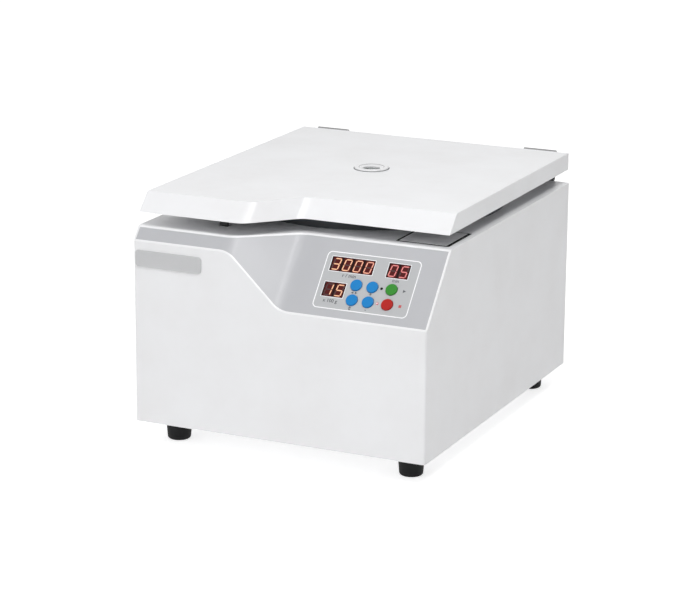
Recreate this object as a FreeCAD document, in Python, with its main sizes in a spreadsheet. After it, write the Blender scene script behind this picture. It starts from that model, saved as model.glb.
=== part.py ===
import FreeCAD, Part
import math
import os
import Sketcher
from FreeCAD import Placement, Rotation, Vector

# Benchtop cytocentrifuge. The cabinet stands on four feet, its front is cut back along an S-shaped
# edge, and the lid swings up on two hinges at the back. Under the lid a rotor head carries slide
# clips that swing upright when it spins.
# The model is drawn with x = 0 on the middle plane, y = 0 on the front face and z = 0 on the floor.
# Every sub-part is then moved along y so that the origin is the middle of the footprint.

os.makedirs("parts", exist_ok=True)
doc = FreeCAD.newDocument("cytocentrifuge")
dims = doc.addObject("Spreadsheet::Sheet", "dims")

SIZES = {
    # cabinet
    "body_width": 350,
    "body_depth": 421,
    "body_height": 221,
    "sheet": 2,
    "corner_radius": 3,
    "lip_width": 14,
    # slanted front: how far its lower edge lies below the deck at each side, and the two bends
    "bevel_angle": 40,
    "bevel_left_drop": 15.2,
    "bevel_right_drop": 74.4,
    "bend_left_offset": 59,
    "bend_right_offset": 2.4,
    "bend_radius": 26,
    "rim": 2.4,
    "fascia_thickness": 1.2,
    "fit_gap": 0.1,
    # feet and floor tray
    "foot_height": 24,
    "foot_radius": 15,
    "foot_side_inset": 33,
    "foot_front_inset": 40,
    "foot_back_inset": 27,
    "tray_thickness": 3,
    "tray_inset": 8,
    "vent_length": 70,
    "vent_width": 5,
    "vent_pitch": 12,
    "tray_vents": 11,
    "rear_vent_rows": 8,
    # chamber: the bowl fills the deck between its margins at the front and the back
    "front_margin": 102.5,
    "back_margin": 39.5,
    "bowl_wall": 1.2,
    "bowl_depth": 117,
    "bowl_corner": 12,
    "bowl_flange": 10.5,
    "bowl_hole": 22,
    "bowl_collar": 5,
    "seal_width": 12.3,
    "seal_gap": 0.3,
    "seal_bead": 3,
    # lid
    "lid_gap": 15.3,
    "lid_height": 20.1,
    "lid_inset": 2,
    "lid_sheet": 1.5,
    "liner_sheet": 1.2,
    "lid_bevel_angle": 44,
    "lid_front_left": 9.8,
    "lid_front_right": 61.8,
    "lid_bend_left_offset": 46,
    "lid_bend_right_offset": 1,
    "lid_bend_radius": 22,
    "window_radius": 19.7,
    "window_opening": 10,
    "window_tube": 14.6,
    "window_wall": 2,
    "window_rise": 1.8,
    "glass_thickness": 4,
    # hinges
    "hinge_offset": 135,
    "hinge_width": 40,
    "hinge_setback": 4.8,
    "hinge_drop": 3.5,
    "knuckle_radius": 4,
    "knuckle_length": 12,
    "pin_radius": 1.8,
    "pin_overhang": 1,
    "running_gap": 0.05,
    "leaf_thickness": 1.6,
    "leaf_reach": 36,
    "leaf_clearance": 1.1,
    "side_gap": 0.3,
    # control panel: places along x from its middle, which keeps its distance from the right side,
    # and up the slope from its lower edge
    "panel_side_inset": 82.5,
    "digit_height": 17,
    "speed_display_width": 50.3,
    "pair_display_width": 25,
    "display_depth": 8,
    "display_recess": 0.5,
    "display_row": 65,
    "force_row": 34.6,
    "display_left": -48.1,
    "time_left": 18.4,
    "key_radius": 6.6,
    "key_gap": 0.25,
    "key_flange": 0.9,
    "key_rise": 1.8,
    "key_travel": 0.8,
    "key_column_left": -11.5,
    "key_column_middle": 7.2,
    "key_column_right": 29.5,
    "key_row_upper": 42.7,
    "key_row_lower": 25,
    "lamp_radius": 1.5,
    "lamp_column": 17.9,
    "board_thickness": 1.6,
    "board_margin": 13,
    # plate without lettering
    "badge_width": 81,
    "badge_height": 18.5,
    "badge_rise": 1.2,
    "badge_side_inset": 3,
    "badge_drop": 43,
    # lid lock
    "slot_width": 13,
    "slot_depth": 10,
    "slot_offset": 90,
    "slot_front": 48.3,
    "striker_width": 10,
    "striker_thickness": 2.5,
    "striker_length": 33,
    "bolt_radius": 3,
    "eye_gap": 0.6,
    "bolt_length": 56,
    "bolt_setback": 1,
    "bolt_bevel": 0.5,
    "latch_width": 32,
    "latch_height": 20,
    "latch_front_wall": 8,
    "latch_rear_wall": 14,
    "solenoid_length": 34,
    # motor
    "motor_radius": 48,
    "motor_clearance": 8,
    "boss_radius": 20,
    "motor_plate_size": 168,
    "motor_plate_thickness": 5,
    "bowl_clearance": 9,
    "post_radius": 5,
    "post_offset": 66,
    "buffer_radius": 12,
    "buffer_height": 16,
    # power board
    "driver_width": 150,
    "driver_depth": 75,
    "driver_inset": 25,
    "driver_foot_height": 8,
    "driver_foot_radius": 4,
    "transformer_width": 48,
    "transformer_depth": 42,
    "transformer_height": 38,
    "heat_sink_width": 40,
    "heat_sink_side": 30,
    "capacitor_radius": 11,
    "capacitor_height": 32,
    # rotor
    "spindle_radius": 6,
    "nose_radius": 5,
    "thread_radius": 4,
    "head_clearance": 17,
    "head_wall": 3,
    "head_floor": 4,
    "head_rise": 10,
    "head_rim_height": 34,
    "hub_radius": 18,
    "hub_height": 34,
    "knob_radius": 20,
    "knob_height": 22,
    "stations": 6,
    "pivot_inset": 16,
    "pivot_height": 14,
    "rest_tilt": 20,
    "ear_plate": 4,
    "ear_gap": 0.5,
    # slide clips, slides and sample funnels
    "slide_width": 26,
    "slide_height": 76,
    "slide_thickness": 1,
    "clip_sheet": 1.2,
    "clip_clearance": 1,
    "clip_drop": 8,
    "clip_radius": 2,
    "trunnion_radius": 2,
    "card_thickness": 0.5,
    "flange_thickness": 2,
    "flange_offset": 2.5,
    "flange_radius": 2,
    "nozzle_height": 38,
    "nozzle_radius": 6,
    "well_radius": 9.5,
    "well_wall": 1.5,
    "well_setback": 20,
    "well_height": 34,
    "port_radius": 3,
    # rear
    "panel_width": 290,
    "panel_top_margin": 55,
    "panel_sheet": 1.5,
    "panel_level": 26,
    "panel_overlap": 12,
    "screw_radius": 1.9,
    "screw_head_radius": 3.8,
    "screw_head_height": 2.4,
    "inlet_inset": 50,
    "inlet_width": 48,
    "inlet_height": 60,
    "inlet_flange": 2.5,
    "inlet_depth": 30,
    "inlet_overlap": 2,
    "socket_width": 24.5,
    "socket_height": 17,
    "socket_depth": 17,
    "rocker_width": 19,
    "rocker_height": 13,
    "rocker_throw": 16,
    "rocker_depth": 2.5,
    "rocker_pin_radius": 1,
    "drawer_height": 8,
    "drawer_rise": 1.5,
    "blade_width": 2,
    "blade_height": 4,
    "blade_spacing": 7,
}
for line, (alias, amount) in enumerate(SIZES.items(), start=1):
    dims.set("A%d" % line, alias)
    dims.set("B%d" % line, str(amount))
    dims.setAlias("B%d" % line, alias)
doc.recompute()


def number(expression):
    """The present value of an expression in the sheet's names."""
    return float(dims.evalExpression(expression))


# Levels and distances that several pieces share, as expressions of the sheet's cells.
FRONT = "-(dims.body_depth + dims.hinge_setback + dims.knuckle_radius - dims.badge_rise)/2"
BASE = "(dims.foot_height + dims.tray_thickness)"
DECK = "(%s + dims.body_height)" % BASE
LID_BOTTOM = "(%s + dims.lid_gap)" % DECK
LID_TOP = "(%s + dims.lid_height)" % LID_BOTTOM
BEVEL_LEFT = "(%s - dims.bevel_left_drop)" % DECK
BEVEL_RIGHT = "(%s - dims.bevel_right_drop)" % DECK
PANEL_MIDDLE = "(dims.body_width/2 - dims.panel_side_inset)"
BOWL_RADIUS = "((dims.body_depth - dims.front_margin - dims.back_margin)/2)"
CHAMBER = "(dims.front_margin + %s)" % BOWL_RADIUS
SEAL_RADIUS = "(%s + dims.bowl_wall + dims.seal_width)" % BOWL_RADIUS
HEAD_RADIUS = "(%s - dims.head_clearance)" % BOWL_RADIUS
PIVOT_RADIUS = "(%s - dims.pivot_inset)" % HEAD_RADIUS
BOWL_FLOOR = "(%s + dims.bowl_wall - dims.bowl_depth)" % DECK
MOTOR_TOP = "(%s - dims.bowl_wall - dims.bowl_clearance)" % BOWL_FLOOR
HEAD_BOTTOM = "(%s + dims.head_rise)" % BOWL_FLOOR
HEAD_FLOOR = "(%s + dims.head_floor)" % HEAD_BOTTOM
HUB_TOP = "(%s + dims.hub_height)" % HEAD_BOTTOM
HINGE_HEIGHT = "(%s - dims.hinge_drop)" % LID_TOP
HINGE_DEPTH = "(dims.body_depth + dims.hinge_setback)"
DROP = "/sin(dims.bevel_angle)"
MOTOR_LENGTH = "(%s - dims.motor_plate_thickness - %s - dims.motor_clearance)" % (MOTOR_TOP, BASE)

subparts = []


def keep(feature, label, x="0", y="0", z="0"):
    """Name a finished sub-part and set its place, y counted from the cabinet's front face."""
    feature.Label = label
    feature.setExpression("Placement.Base.x", x)
    feature.setExpression("Placement.Base.y", "%s + %s" % (FRONT, y))
    feature.setExpression("Placement.Base.z", z)
    subparts.append(feature)
    return feature


def keep_turned(feature, label, placement):
    """Name a finished sub-part whose place is a turned frame of the cabinet."""
    feature.Label = label
    feature.Placement = Placement(Vector(0, number(FRONT), 0), Rotation()) * placement
    subparts.append(feature)
    return feature


def new_body(name):
    return doc.addObject("PartDesign::Body", name)


def new_sketch(body, role, name, offset="0"):
    """An empty sketch on one of the body's own origin planes, moved along the plane's normal."""
    sketch = body.newObject("Sketcher::SketchObject", name)
    datum = [plane for plane in body.Origin.OriginFeatures if plane.Role == role][0]
    sketch.AttachmentSupport = [(datum, "")]
    sketch.MapMode = "FlatFace"
    sketch.setExpression("AttachmentOffset.Base.z", offset)
    return sketch


def pin_point(sketch, item, vertex, place):
    """Hold one point of the sketch at a place given by two expressions."""
    for kind, expression in (("DistanceX", place[0]), ("DistanceY", place[1])):
        index = sketch.addConstraint(Sketcher.Constraint(kind, -1, 1, item, vertex, number(expression)))
        sketch.setExpression("Constraints[%d]" % index, expression)


def draw_outline(sketch, corners):
    """A closed outline. A corner is (x, y) or, where it is rounded, (x, y, radius)."""
    count = len(corners)
    points = [Vector(number(corner[0]), number(corner[1]), 0) for corner in corners]
    leave = list(points)
    reach = list(points)
    rounds = {}
    for i, corner in enumerate(corners):
        if len(corner) == 2:
            continue
        radius = number(corner[2])
        back = (points[i - 1] - points[i]).normalize()
        ahead = (points[(i + 1) % count] - points[i]).normalize()
        half = back.getAngle(ahead) / 2
        reach[i] = points[i] + back * (radius / math.tan(half))
        leave[i] = points[i] + ahead * (radius / math.tan(half))
        rounds[i] = (points[i] + (back + ahead).normalize() * (radius / math.sin(half)), radius)
    sides = []
    for i in range(count):
        sides.append(sketch.addGeometry(Part.LineSegment(leave[i], reach[(i + 1) % count]), False))
    for i, corner in enumerate(corners):
        before, after = sides[i - 1], sides[i]
        if i not in rounds:
            sketch.addConstraint(Sketcher.Constraint("Coincident", before, 2, after, 1))
            pin_point(sketch, after, 1, corner)
            continue
        centre, radius = rounds[i]
        first = math.atan2(reach[i].y - centre.y, reach[i].x - centre.x)
        last = math.atan2(leave[i].y - centre.y, leave[i].x - centre.x)
        left_turn = (reach[i] - centre).cross(leave[i] - centre).z > 0
        ends = (first, last) if left_turn else (last, first)
        arc = Part.ArcOfCircle(Part.Circle(centre, Vector(0, 0, 1), radius), ends[0], ends[1])
        item = sketch.addGeometry(arc, False)
        start, end = (1, 2) if left_turn else (2, 1)
        sketch.addConstraint(Sketcher.Constraint("Tangent", before, 2, item, start))
        sketch.addConstraint(Sketcher.Constraint("Tangent", item, end, after, 1))
        index = sketch.addConstraint(Sketcher.Constraint("Radius", item, radius))
        sketch.setExpression("Constraints[%d]" % index, corner[2])
        tip = sketch.addGeometry(Part.Point(points[i]), True)
        sketch.addConstraint(Sketcher.Constraint("PointOnObject", tip, 1, before))
        sketch.addConstraint(Sketcher.Constraint("PointOnObject", tip, 1, after))
        pin_point(sketch, tip, 1, corner)


def draw_box(sketch, left, bottom, right, top, radius=None):
    """A rectangle, its corners rounded where a radius is given."""
    corners = [(left, bottom), (right, bottom), (right, top), (left, top)]
    if radius:
        corners = [(x, y, radius) for x, y in corners]
    draw_outline(sketch, corners)


def draw_circle(sketch, x, y, radius):
    centre = Vector(number(x), number(y), 0)
    item = sketch.addGeometry(Part.Circle(centre, Vector(0, 0, 1), number(radius)), False)
    index = sketch.addConstraint(Sketcher.Constraint("Radius", item, number(radius)))
    sketch.setExpression("Constraints[%d]" % index, radius)
    pin_point(sketch, item, 3, (x, y))


def pad(body, sketch, length, reverse=False, midplane=False):
    feature = body.newObject("PartDesign::Pad", sketch.Name + "_pad")
    feature.Profile = sketch
    feature.setExpression("Length", length)
    feature.Reversed = reverse
    feature.Midplane = midplane
    return feature


def pocket(body, sketch, length, reverse=False, midplane=False):
    feature = body.newObject("PartDesign::Pocket", sketch.Name + "_pocket")
    feature.Profile = sketch
    feature.setExpression("Length", length)
    feature.Reversed = reverse
    feature.Midplane = midplane
    return feature


def along(feature, y, z):
    """Make a pad or pocket run in its own direction in the plane x = 0."""
    feature.UseCustomVector = True
    feature.AlongSketchNormal = False
    feature.Direction = Vector(0, 0, 1)
    feature.setExpression("Direction.y", y)
    feature.setExpression("Direction.z", z)


def revolve(body, corners, name):
    """A turned piece: its half section, radius across and height up, about the z axis."""
    sketch = new_sketch(body, "XZ_Plane", name)
    draw_outline(sketch, corners)
    feature = body.newObject("PartDesign::Revolution", name + "_turn")
    feature.Profile = sketch
    feature.ReferenceAxis = (sketch, ["V_Axis"])
    feature.Angle = 360
    return feature


def spread(body, originals, count, angle="360"):
    """Repeat features round the body's z axis."""
    doc.recompute()
    feature = body.newObject("PartDesign::PolarPattern", originals[0].Name + "_round")
    feature.Originals = originals
    axis = [line for line in body.Origin.OriginFeatures if line.Role == "Z_Axis"][0]
    feature.Axis = (axis, [""])
    feature.setExpression("Occurrences", count)
    feature.setExpression("Angle", angle)
    body.Tip = feature
    return feature


def row_of(body, originals, role, pitch, count):
    """Repeat features in a row along one of the body's axes."""
    doc.recompute()
    feature = body.newObject("PartDesign::LinearPattern", originals[0].Name + "_row_" + role[0])
    feature.Originals = originals
    axis = [line for line in body.Origin.OriginFeatures if line.Role == role][0]
    feature.Direction = (axis, [""])
    feature.setExpression("Length", "%s*(%s - 1)" % (pitch, count))
    feature.setExpression("Occurrences", count)
    body.Tip = feature
    return feature


def block(name, size, corner):
    """A Part box from its three lengths and its low corner."""
    box = doc.addObject("Part::Box", name)
    for side, expression in zip(("Length", "Width", "Height"), size):
        box.setExpression(side, expression)
    for letter, expression in zip("xyz", corner):
        box.setExpression("Placement.Base." + letter, expression)
    return box


def rod(name, radius, length, foot, axis="z"):
    """A Part cylinder from its foot, along x, y or z."""
    cylinder = doc.addObject("Part::Cylinder", name)
    cylinder.setExpression("Radius", radius)
    cylinder.setExpression("Height", length)
    turns = {"x": Rotation(Vector(0, 1, 0), 90), "y": Rotation(Vector(1, 0, 0), -90), "z": Rotation()}
    cylinder.Placement = Placement(Vector(), turns[axis])
    for letter, expression in zip("xyz", foot):
        cylinder.setExpression("Placement.Base." + letter, expression)
    return cylinder


def fuse(name, shapes):
    feature = doc.addObject("Part::MultiFuse", name)
    feature.Shapes = shapes
    return feature


def cut(name, base, tools):
    """The base less its tools."""
    feature = doc.addObject("Part::Cut", name)
    feature.Base = base
    feature.Tool = tools[0] if len(tools) == 1 else fuse(name + "_tools", tools)
    return feature


def group(name, members):
    """Identical separate pieces under one name."""
    feature = doc.addObject("Part::Compound", name)
    feature.Links = members
    return feature


# Slanted front. The S is drawn on the front plane and carried up the slope, so that the left strip,
# the diagonal facet and the right panel come from one curve.

def s_curve(left, right, drop):
    """The S from left to right on the front plane, lowered by drop."""
    return [
        (left, "%s - %s" % (BEVEL_LEFT, drop)),
        ("-dims.bend_left_offset", "%s - %s" % (BEVEL_LEFT, drop), "dims.bend_radius"),
        ("dims.bend_right_offset", "%s - %s" % (BEVEL_RIGHT, drop), "dims.bend_radius"),
        (right, "%s - %s" % (BEVEL_RIGHT, drop)),
    ]


def slanted_block(name, inset, bottom, top, drop, radius):
    """The cabinet's outside or inside: a box with the slanted front cut away."""
    body = new_body(name)
    plan = new_sketch(body, "XY_Plane", name + "_plan", bottom)
    half = "(dims.body_width/2 - (%s))" % inset
    draw_box(plan, "-" + half, inset, half, "dims.body_depth - (%s)" % inset, radius)
    pad(body, plan, "(%s) - (%s)" % (top, bottom))
    front = new_sketch(body, "XZ_Plane", name + "_front")
    sky = "%s + dims.body_height" % DECK
    corners = s_curve("-dims.body_width", "dims.body_width", drop)
    draw_outline(front, corners + [("dims.body_width", sky), ("-dims.body_width", sky)])
    along(pocket(body, front, "3*dims.body_height"), "sin(dims.bevel_angle)", "cos(dims.bevel_angle)")
    return body


def slanted_sheet(name, margin, upper, lower):
    """A sheet that follows the slanted front, between two depths, margin inside its edges."""
    body = new_body(name)
    band = new_sketch(body, "XZ_Plane", name + "_band", "-(%s)*sin(dims.bevel_angle)" % margin)
    band.setExpression("AttachmentOffset.Base.y", "(%s)*cos(dims.bevel_angle)" % margin)
    half = "(dims.body_width/2 - (%s))" % margin
    over = s_curve("-" + half, half, "(%s)%s" % (upper, DROP))
    under = s_curve("-" + half, half, "(%s)%s" % (lower, DROP))
    draw_outline(band, over + under[::-1])
    along(pad(body, band, "2*dims.body_height"), "sin(dims.bevel_angle)", "cos(dims.bevel_angle)")
    level = "%s - (%s)*cos(dims.bevel_angle)" % (DECK, margin)
    trim = new_sketch(body, "XY_Plane", name + "_trim", level)
    draw_box(trim, "-dims.body_width", "-dims.body_depth", "dims.body_width", "2*dims.body_depth")
    pocket(body, trim, "3*dims.body_height", reverse=True)
    return body


def panel_place(across, up, out):
    """A frame on the control panel: x across, y up the slope, z square out of it."""
    angle = math.radians(number("dims.bevel_angle"))
    slope = Vector(0, math.sin(angle), math.cos(angle))
    normal = Vector(0, -math.cos(angle), math.sin(angle))
    origin = Vector(number("%s + %s" % (PANEL_MIDDLE, across)), 0, number(BEVEL_RIGHT))
    turn = Rotation(Vector(1, 0, 0), 90 - number("dims.bevel_angle"))
    return Placement(origin + slope * number(up) + normal * number(out), turn)


def panel_box(name, width, height, depth, left, low, out):
    """A box on the control panel, its outer face at height out above the panel."""
    box = doc.addObject("Part::Box", name)
    box.setExpression("Length", width)
    box.setExpression("Width", height)
    box.setExpression("Height", depth)
    box.Placement = panel_place(left, low, "%s - (%s)" % (out, depth))
    return box


def panel_rod(name, radius, depth, across, up, out):
    """A round piece on the control panel, its outer end at height out above the panel."""
    cylinder = doc.addObject("Part::Cylinder", name)
    cylinder.setExpression("Radius", radius)
    cylinder.setExpression("Height", depth)
    cylinder.Placement = panel_place(across, up, "%s - (%s)" % (out, depth))
    return cylinder


KEYS = {
    "shift_button": ("dims.key_column_left", "dims.key_row_upper"),
    "mode_button": ("dims.key_column_left", "dims.key_row_lower"),
    "plus_button": ("dims.key_column_middle", "dims.key_row_upper"),
    "minus_button": ("dims.key_column_middle", "dims.key_row_lower"),
    "start_button": ("dims.key_column_right", "dims.key_row_upper"),
    "stop_button": ("dims.key_column_right", "dims.key_row_lower"),
}
LAMPS = [("dims.lamp_column", "dims.key_row_upper"), ("dims.lamp_column", "dims.key_row_lower")]
DISPLAYS = {
    "display_speed": ("dims.speed_display_width", "dims.display_left", "dims.display_row"),
    "display_time": ("dims.pair_display_width", "dims.time_left", "dims.display_row"),
    "display_force": ("dims.pair_display_width", "dims.display_left", "dims.force_row"),
}
BOARD_LEFT = "(dims.display_left - dims.board_margin)"
BOARD_WIDTH = "(dims.time_left + dims.pair_display_width - dims.display_left + 2*dims.board_margin)"
BOARD_LOW = "(dims.key_row_lower - dims.key_radius - dims.board_margin)"
BOARD_HEIGHT = "(dims.display_row + dims.digit_height/2 + dims.board_margin - %s)" % BOARD_LOW
BOARD_OUT = "(-dims.display_recess - dims.display_depth)"
STANDOFF = "(dims.board_margin/3)"


def cabinet_shell():
    outside = slanted_block("cabinet_outside", "0", BASE, DECK, "0", "dims.corner_radius")
    inside = slanted_block("cabinet_inside", "dims.sheet", BASE + " + dims.sheet", DECK + " - dims.sheet",
                           "dims.sheet" + DROP, None)
    recess = slanted_sheet("fascia_recess", "dims.rim", "-1", "dims.fascia_thickness")
    opening = ("dims.body_width - 2*dims.lip_width", "dims.body_depth - 2*dims.lip_width", "3*dims.sheet")
    floor = block("floor_opening", opening,
                  ("-dims.body_width/2 + dims.lip_width", "dims.lip_width", BASE + " - dims.sheet"))
    mouth = rod("chamber_mouth", BOWL_RADIUS + " + dims.bowl_wall + dims.side_gap", "3*dims.sheet",
                ("0", CHAMBER, DECK + " - 2*dims.sheet"))
    slot = block("latch_slot", ("dims.slot_width", "dims.slot_depth", "3*dims.sheet"),
                 ("-dims.slot_offset - dims.slot_width/2", "dims.slot_front", DECK + " - 2*dims.sheet"))
    inner = "dims.board_margin*2/3"
    bay = panel_box("board_bay", "%s - 2*%s" % (BOARD_WIDTH, inner), "%s - 2*%s" % (BOARD_HEIGHT, inner),
                    "4*dims.sheet", "%s + %s" % (BOARD_LEFT, inner), "%s + %s" % (BOARD_LOW, inner),
                    "dims.sheet")
    back = block("rear_opening",
                 ("dims.panel_width - 2*dims.panel_overlap", "3*dims.sheet",
                  REAR_HEIGHT + " - 2*dims.panel_overlap"),
                 ("-dims.panel_width/2 + dims.panel_overlap", "dims.body_depth - 2*dims.sheet",
                  "%s + dims.panel_level + dims.panel_overlap" % BASE))
    holes = [rod("shell_hole_%d" % i, "dims.screw_radius + dims.fit_gap", "3*dims.sheet",
                 (x, "dims.body_depth - 2*dims.sheet", z), "y") for i, (x, z) in enumerate(SCREWS)]
    shell = cut("shell", outside, [inside, recess, floor, mouth, slot, bay, back] + holes)
    return keep(shell, "cabinet_shell")


REAR_HEIGHT = "(dims.body_height - dims.panel_level - dims.panel_top_margin)"
SCREW_X = "(dims.panel_width/2 - dims.panel_overlap/2)"
SCREW_LOW = "(%s + dims.panel_level + dims.panel_overlap/2)" % BASE
SCREW_HIGH = "(%s - dims.panel_top_margin - dims.panel_overlap/2)" % DECK
SCREWS = [(x, z) for z in (SCREW_LOW, SCREW_HIGH) for x in ("-" + SCREW_X, "0", SCREW_X)]


def control_fascia():
    blank = slanted_sheet("fascia_blank", "dims.rim + dims.fit_gap", "0", "dims.fascia_thickness")
    windows = []
    for name, (width, left, row) in DISPLAYS.items():
        windows.append(panel_box(name + "_window", width + " + 2*dims.fit_gap",
                                 "dims.digit_height + 2*dims.fit_gap", "4*dims.fascia_thickness",
                                 left + " - dims.fit_gap", row + " - dims.digit_height/2 - dims.fit_gap",
                                 "dims.fascia_thickness"))
    for name, (across, up) in KEYS.items():
        windows.append(panel_rod(name + "_hole", "dims.key_radius + dims.key_gap",
                                 "4*dims.fascia_thickness", across, up, "dims.fascia_thickness"))
    for i, (across, up) in enumerate(LAMPS):
        windows.append(panel_rod("lamp_hole_%d" % i, "dims.lamp_radius + dims.fit_gap",
                                 "4*dims.fascia_thickness", across, up, "dims.fascia_thickness"))
    return keep(cut("fascia", blank, windows), "control_fascia")


def displays():
    for name, (width, left, row) in DISPLAYS.items():
        box = panel_box(name, width, "dims.digit_height", "dims.display_depth", left,
                        row + " - dims.digit_height/2", "-dims.display_recess")
        keep_turned(box, name, box.Placement)


def button(name, across, up):
    """A round key cap: domed top, flange that keeps it behind the fascia, stem for the switch."""
    body = new_body(name)
    under = "(-dims.fascia_thickness - dims.key_gap)"
    foot = "(%s - dims.fascia_thickness)" % under
    revolve(body, [
        ("0", "%s - dims.key_travel" % foot),
        ("dims.key_radius/3", "%s - dims.key_travel" % foot),
        ("dims.key_radius/3", foot),
        ("dims.key_radius + dims.key_flange", foot),
        ("dims.key_radius + dims.key_flange", under),
        ("dims.key_radius", under),
        ("dims.key_radius", "dims.key_rise", "dims.key_rise/2"),
        ("0", "dims.key_rise"),
    ], name + "_section")
    return keep_turned(body, name, panel_place(across, up, "0"))


def indicator_lamps():
    lamps = []
    for i, (across, up) in enumerate(LAMPS):
        lamp = panel_rod("lamp_%d" % i, "dims.lamp_radius", "dims.display_depth + dims.display_recess",
                         across, up, "0")
        lamps.append(lamp)
    return keep(group("lamps", lamps), "indicator_lamps")


def control_board():
    board = panel_box("board", BOARD_WIDTH, BOARD_HEIGHT, "dims.board_thickness", BOARD_LEFT, BOARD_LOW,
                      BOARD_OUT)
    pieces = [board]
    for i, (across, up) in enumerate(KEYS.values()):
        top = "(-2*dims.fascia_thickness - dims.key_gap - 2*dims.key_travel - dims.fit_gap)"
        side = "dims.key_radius"
        pieces.append(panel_box("switch_%d" % i, side, side, "%s - %s" % (top, BOARD_OUT),
                                "%s - %s/2" % (across, side), "%s - %s/2" % (up, side), top))
    for i, (x, y) in enumerate(((0, 0), (1, 0), (0, 1), (1, 1))):
        across = "%s + %s + %d*(%s - 2*%s)" % (BOARD_LEFT, STANDOFF, x, BOARD_WIDTH, STANDOFF)
        up = "%s + %s + %d*(%s - 2*%s)" % (BOARD_LOW, STANDOFF, y, BOARD_HEIGHT, STANDOFF)
        pieces.append(panel_rod("standoff_%d" % i, STANDOFF, "-dims.sheet - %s" % BOARD_OUT, across, up,
                                "-dims.sheet"))
    return keep(fuse("board_with_switches", pieces), "control_board")


def badge_plate():
    body = new_body("badge")
    face = new_sketch(body, "XZ_Plane", "badge_face")
    left = "(-dims.body_width/2 + dims.badge_side_inset)"
    low = "(%s - dims.badge_drop)" % DECK
    draw_box(face, left, low, left + " + dims.badge_width", low + " + dims.badge_height",
             "dims.badge_height/5")
    pad(body, face, "dims.badge_rise")
    return keep(body, "badge_plate")


SLOT_END = "dims.vent_width/2.01"


def base_tray():
    body = new_body("tray")
    half = "(dims.body_width/2 - dims.tray_inset)"
    plan = new_sketch(body, "XY_Plane", "tray_plan", "dims.foot_height")
    draw_box(plan, "-" + half, "dims.tray_inset", half, "dims.body_depth - dims.tray_inset",
             "dims.corner_radius")
    pad(body, plan, "dims.tray_thickness")
    slots = new_sketch(body, "XY_Plane", "tray_slot", BASE)
    first = "(%s - dims.vent_pitch*(dims.tray_vents - 1)/2)" % CHAMBER
    draw_box(slots, "-dims.vent_length/2", first, "dims.vent_length/2", first + " + dims.vent_width",
             SLOT_END)
    hole = pocket(body, slots, "2*dims.tray_thickness")
    row_of(body, [hole], "Y_Axis", "dims.vent_pitch", "dims.tray_vents")
    return keep(body, "base_tray")


FEET = [(sign + "(dims.body_width/2 - dims.foot_side_inset)", y) for sign in ("-", "")
        for y in ("dims.foot_front_inset", "(dims.body_depth - dims.foot_back_inset)")]


def rubber_feet():
    feet = []
    for i, (x, y) in enumerate(FEET):
        foot = new_body("foot_%d" % i)
        revolve(foot, [
            ("dims.foot_radius/4", "0"),
            ("dims.foot_radius*0.86", "0", "dims.foot_height/8"),
            ("dims.foot_radius", "dims.foot_height"),
            ("0", "dims.foot_height"),
            ("0", "dims.foot_height/3"),
            ("dims.foot_radius/4", "dims.foot_height/3"),
        ], "foot_section_%d" % i)
        foot.setExpression("Placement.Base.x", x)
        foot.setExpression("Placement.Base.y", y)
        feet.append(foot)
    return keep(group("feet", feet), "rubber_feet")


# Chamber

def chamber_bowl():
    """Bowl of two pieces welded together: a rolled band with a flange, and a pressed floor."""
    wall = "dims.bowl_wall"
    outer = "(%s + dims.bowl_wall)" % BOWL_RADIUS
    flange = "(%s + dims.bowl_flange)" % BOWL_RADIUS
    seam = "(%s + dims.bowl_corner + dims.bowl_wall)" % BOWL_FLOOR
    band = new_body("bowl_band")
    revolve(band, [
        (outer, seam), (outer, DECK), (flange, DECK), (flange, "%s + %s" % (DECK, wall)),
        (BOWL_RADIUS, "%s + %s" % (DECK, wall)), (BOWL_RADIUS, seam),
    ], "band_section")
    pan = new_body("bowl_pan")
    revolve(pan, [
        ("dims.bowl_hole", "%s - %s" % (BOWL_FLOOR, wall)),
        (outer, "%s - %s" % (BOWL_FLOOR, wall), "dims.bowl_corner + dims.bowl_wall"),
        (outer, seam),
        (BOWL_RADIUS, seam),
        (BOWL_RADIUS, BOWL_FLOOR, "dims.bowl_corner"),
        ("dims.bowl_hole + dims.bowl_wall", BOWL_FLOOR),
        ("dims.bowl_hole + dims.bowl_wall", "%s + dims.bowl_collar" % BOWL_FLOOR),
        ("dims.bowl_hole", "%s + dims.bowl_collar" % BOWL_FLOOR),
    ], "pan_section")
    return keep(group("bowl", [band, pan]), "chamber_bowl", "0", CHAMBER)


def chamber_seal():
    """Raised rubber ring over the bowl's flange, with a lip that the lid presses on."""
    body = new_body("seal")
    top = "(%s - dims.seal_gap)" % LID_BOTTOM
    land = "(%s + dims.bowl_wall)" % DECK
    edge = "(%s + dims.bowl_flange + dims.side_gap)" % BOWL_RADIUS
    inner = "(%s + dims.bowl_wall)" % BOWL_RADIUS
    lip = "dims.lid_gap/2"
    revolve(body, [
        (inner, land),
        (edge, land),
        (edge, DECK),
        (SEAL_RADIUS, DECK),
        (SEAL_RADIUS, "%s - %s" % (top, lip), "dims.lid_gap/6"),
        (SEAL_RADIUS + " - dims.seal_bead", top, "dims.seal_bead/2"),
        (inner + " + dims.seal_bead", top, "dims.seal_bead/2"),
        (inner, "%s - %s" % (top, lip)),
    ], "seal_section")
    return keep(body, "chamber_seal", "0", CHAMBER)


# Lid. Its front follows a V in plan that leans back at its own angle.

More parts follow.
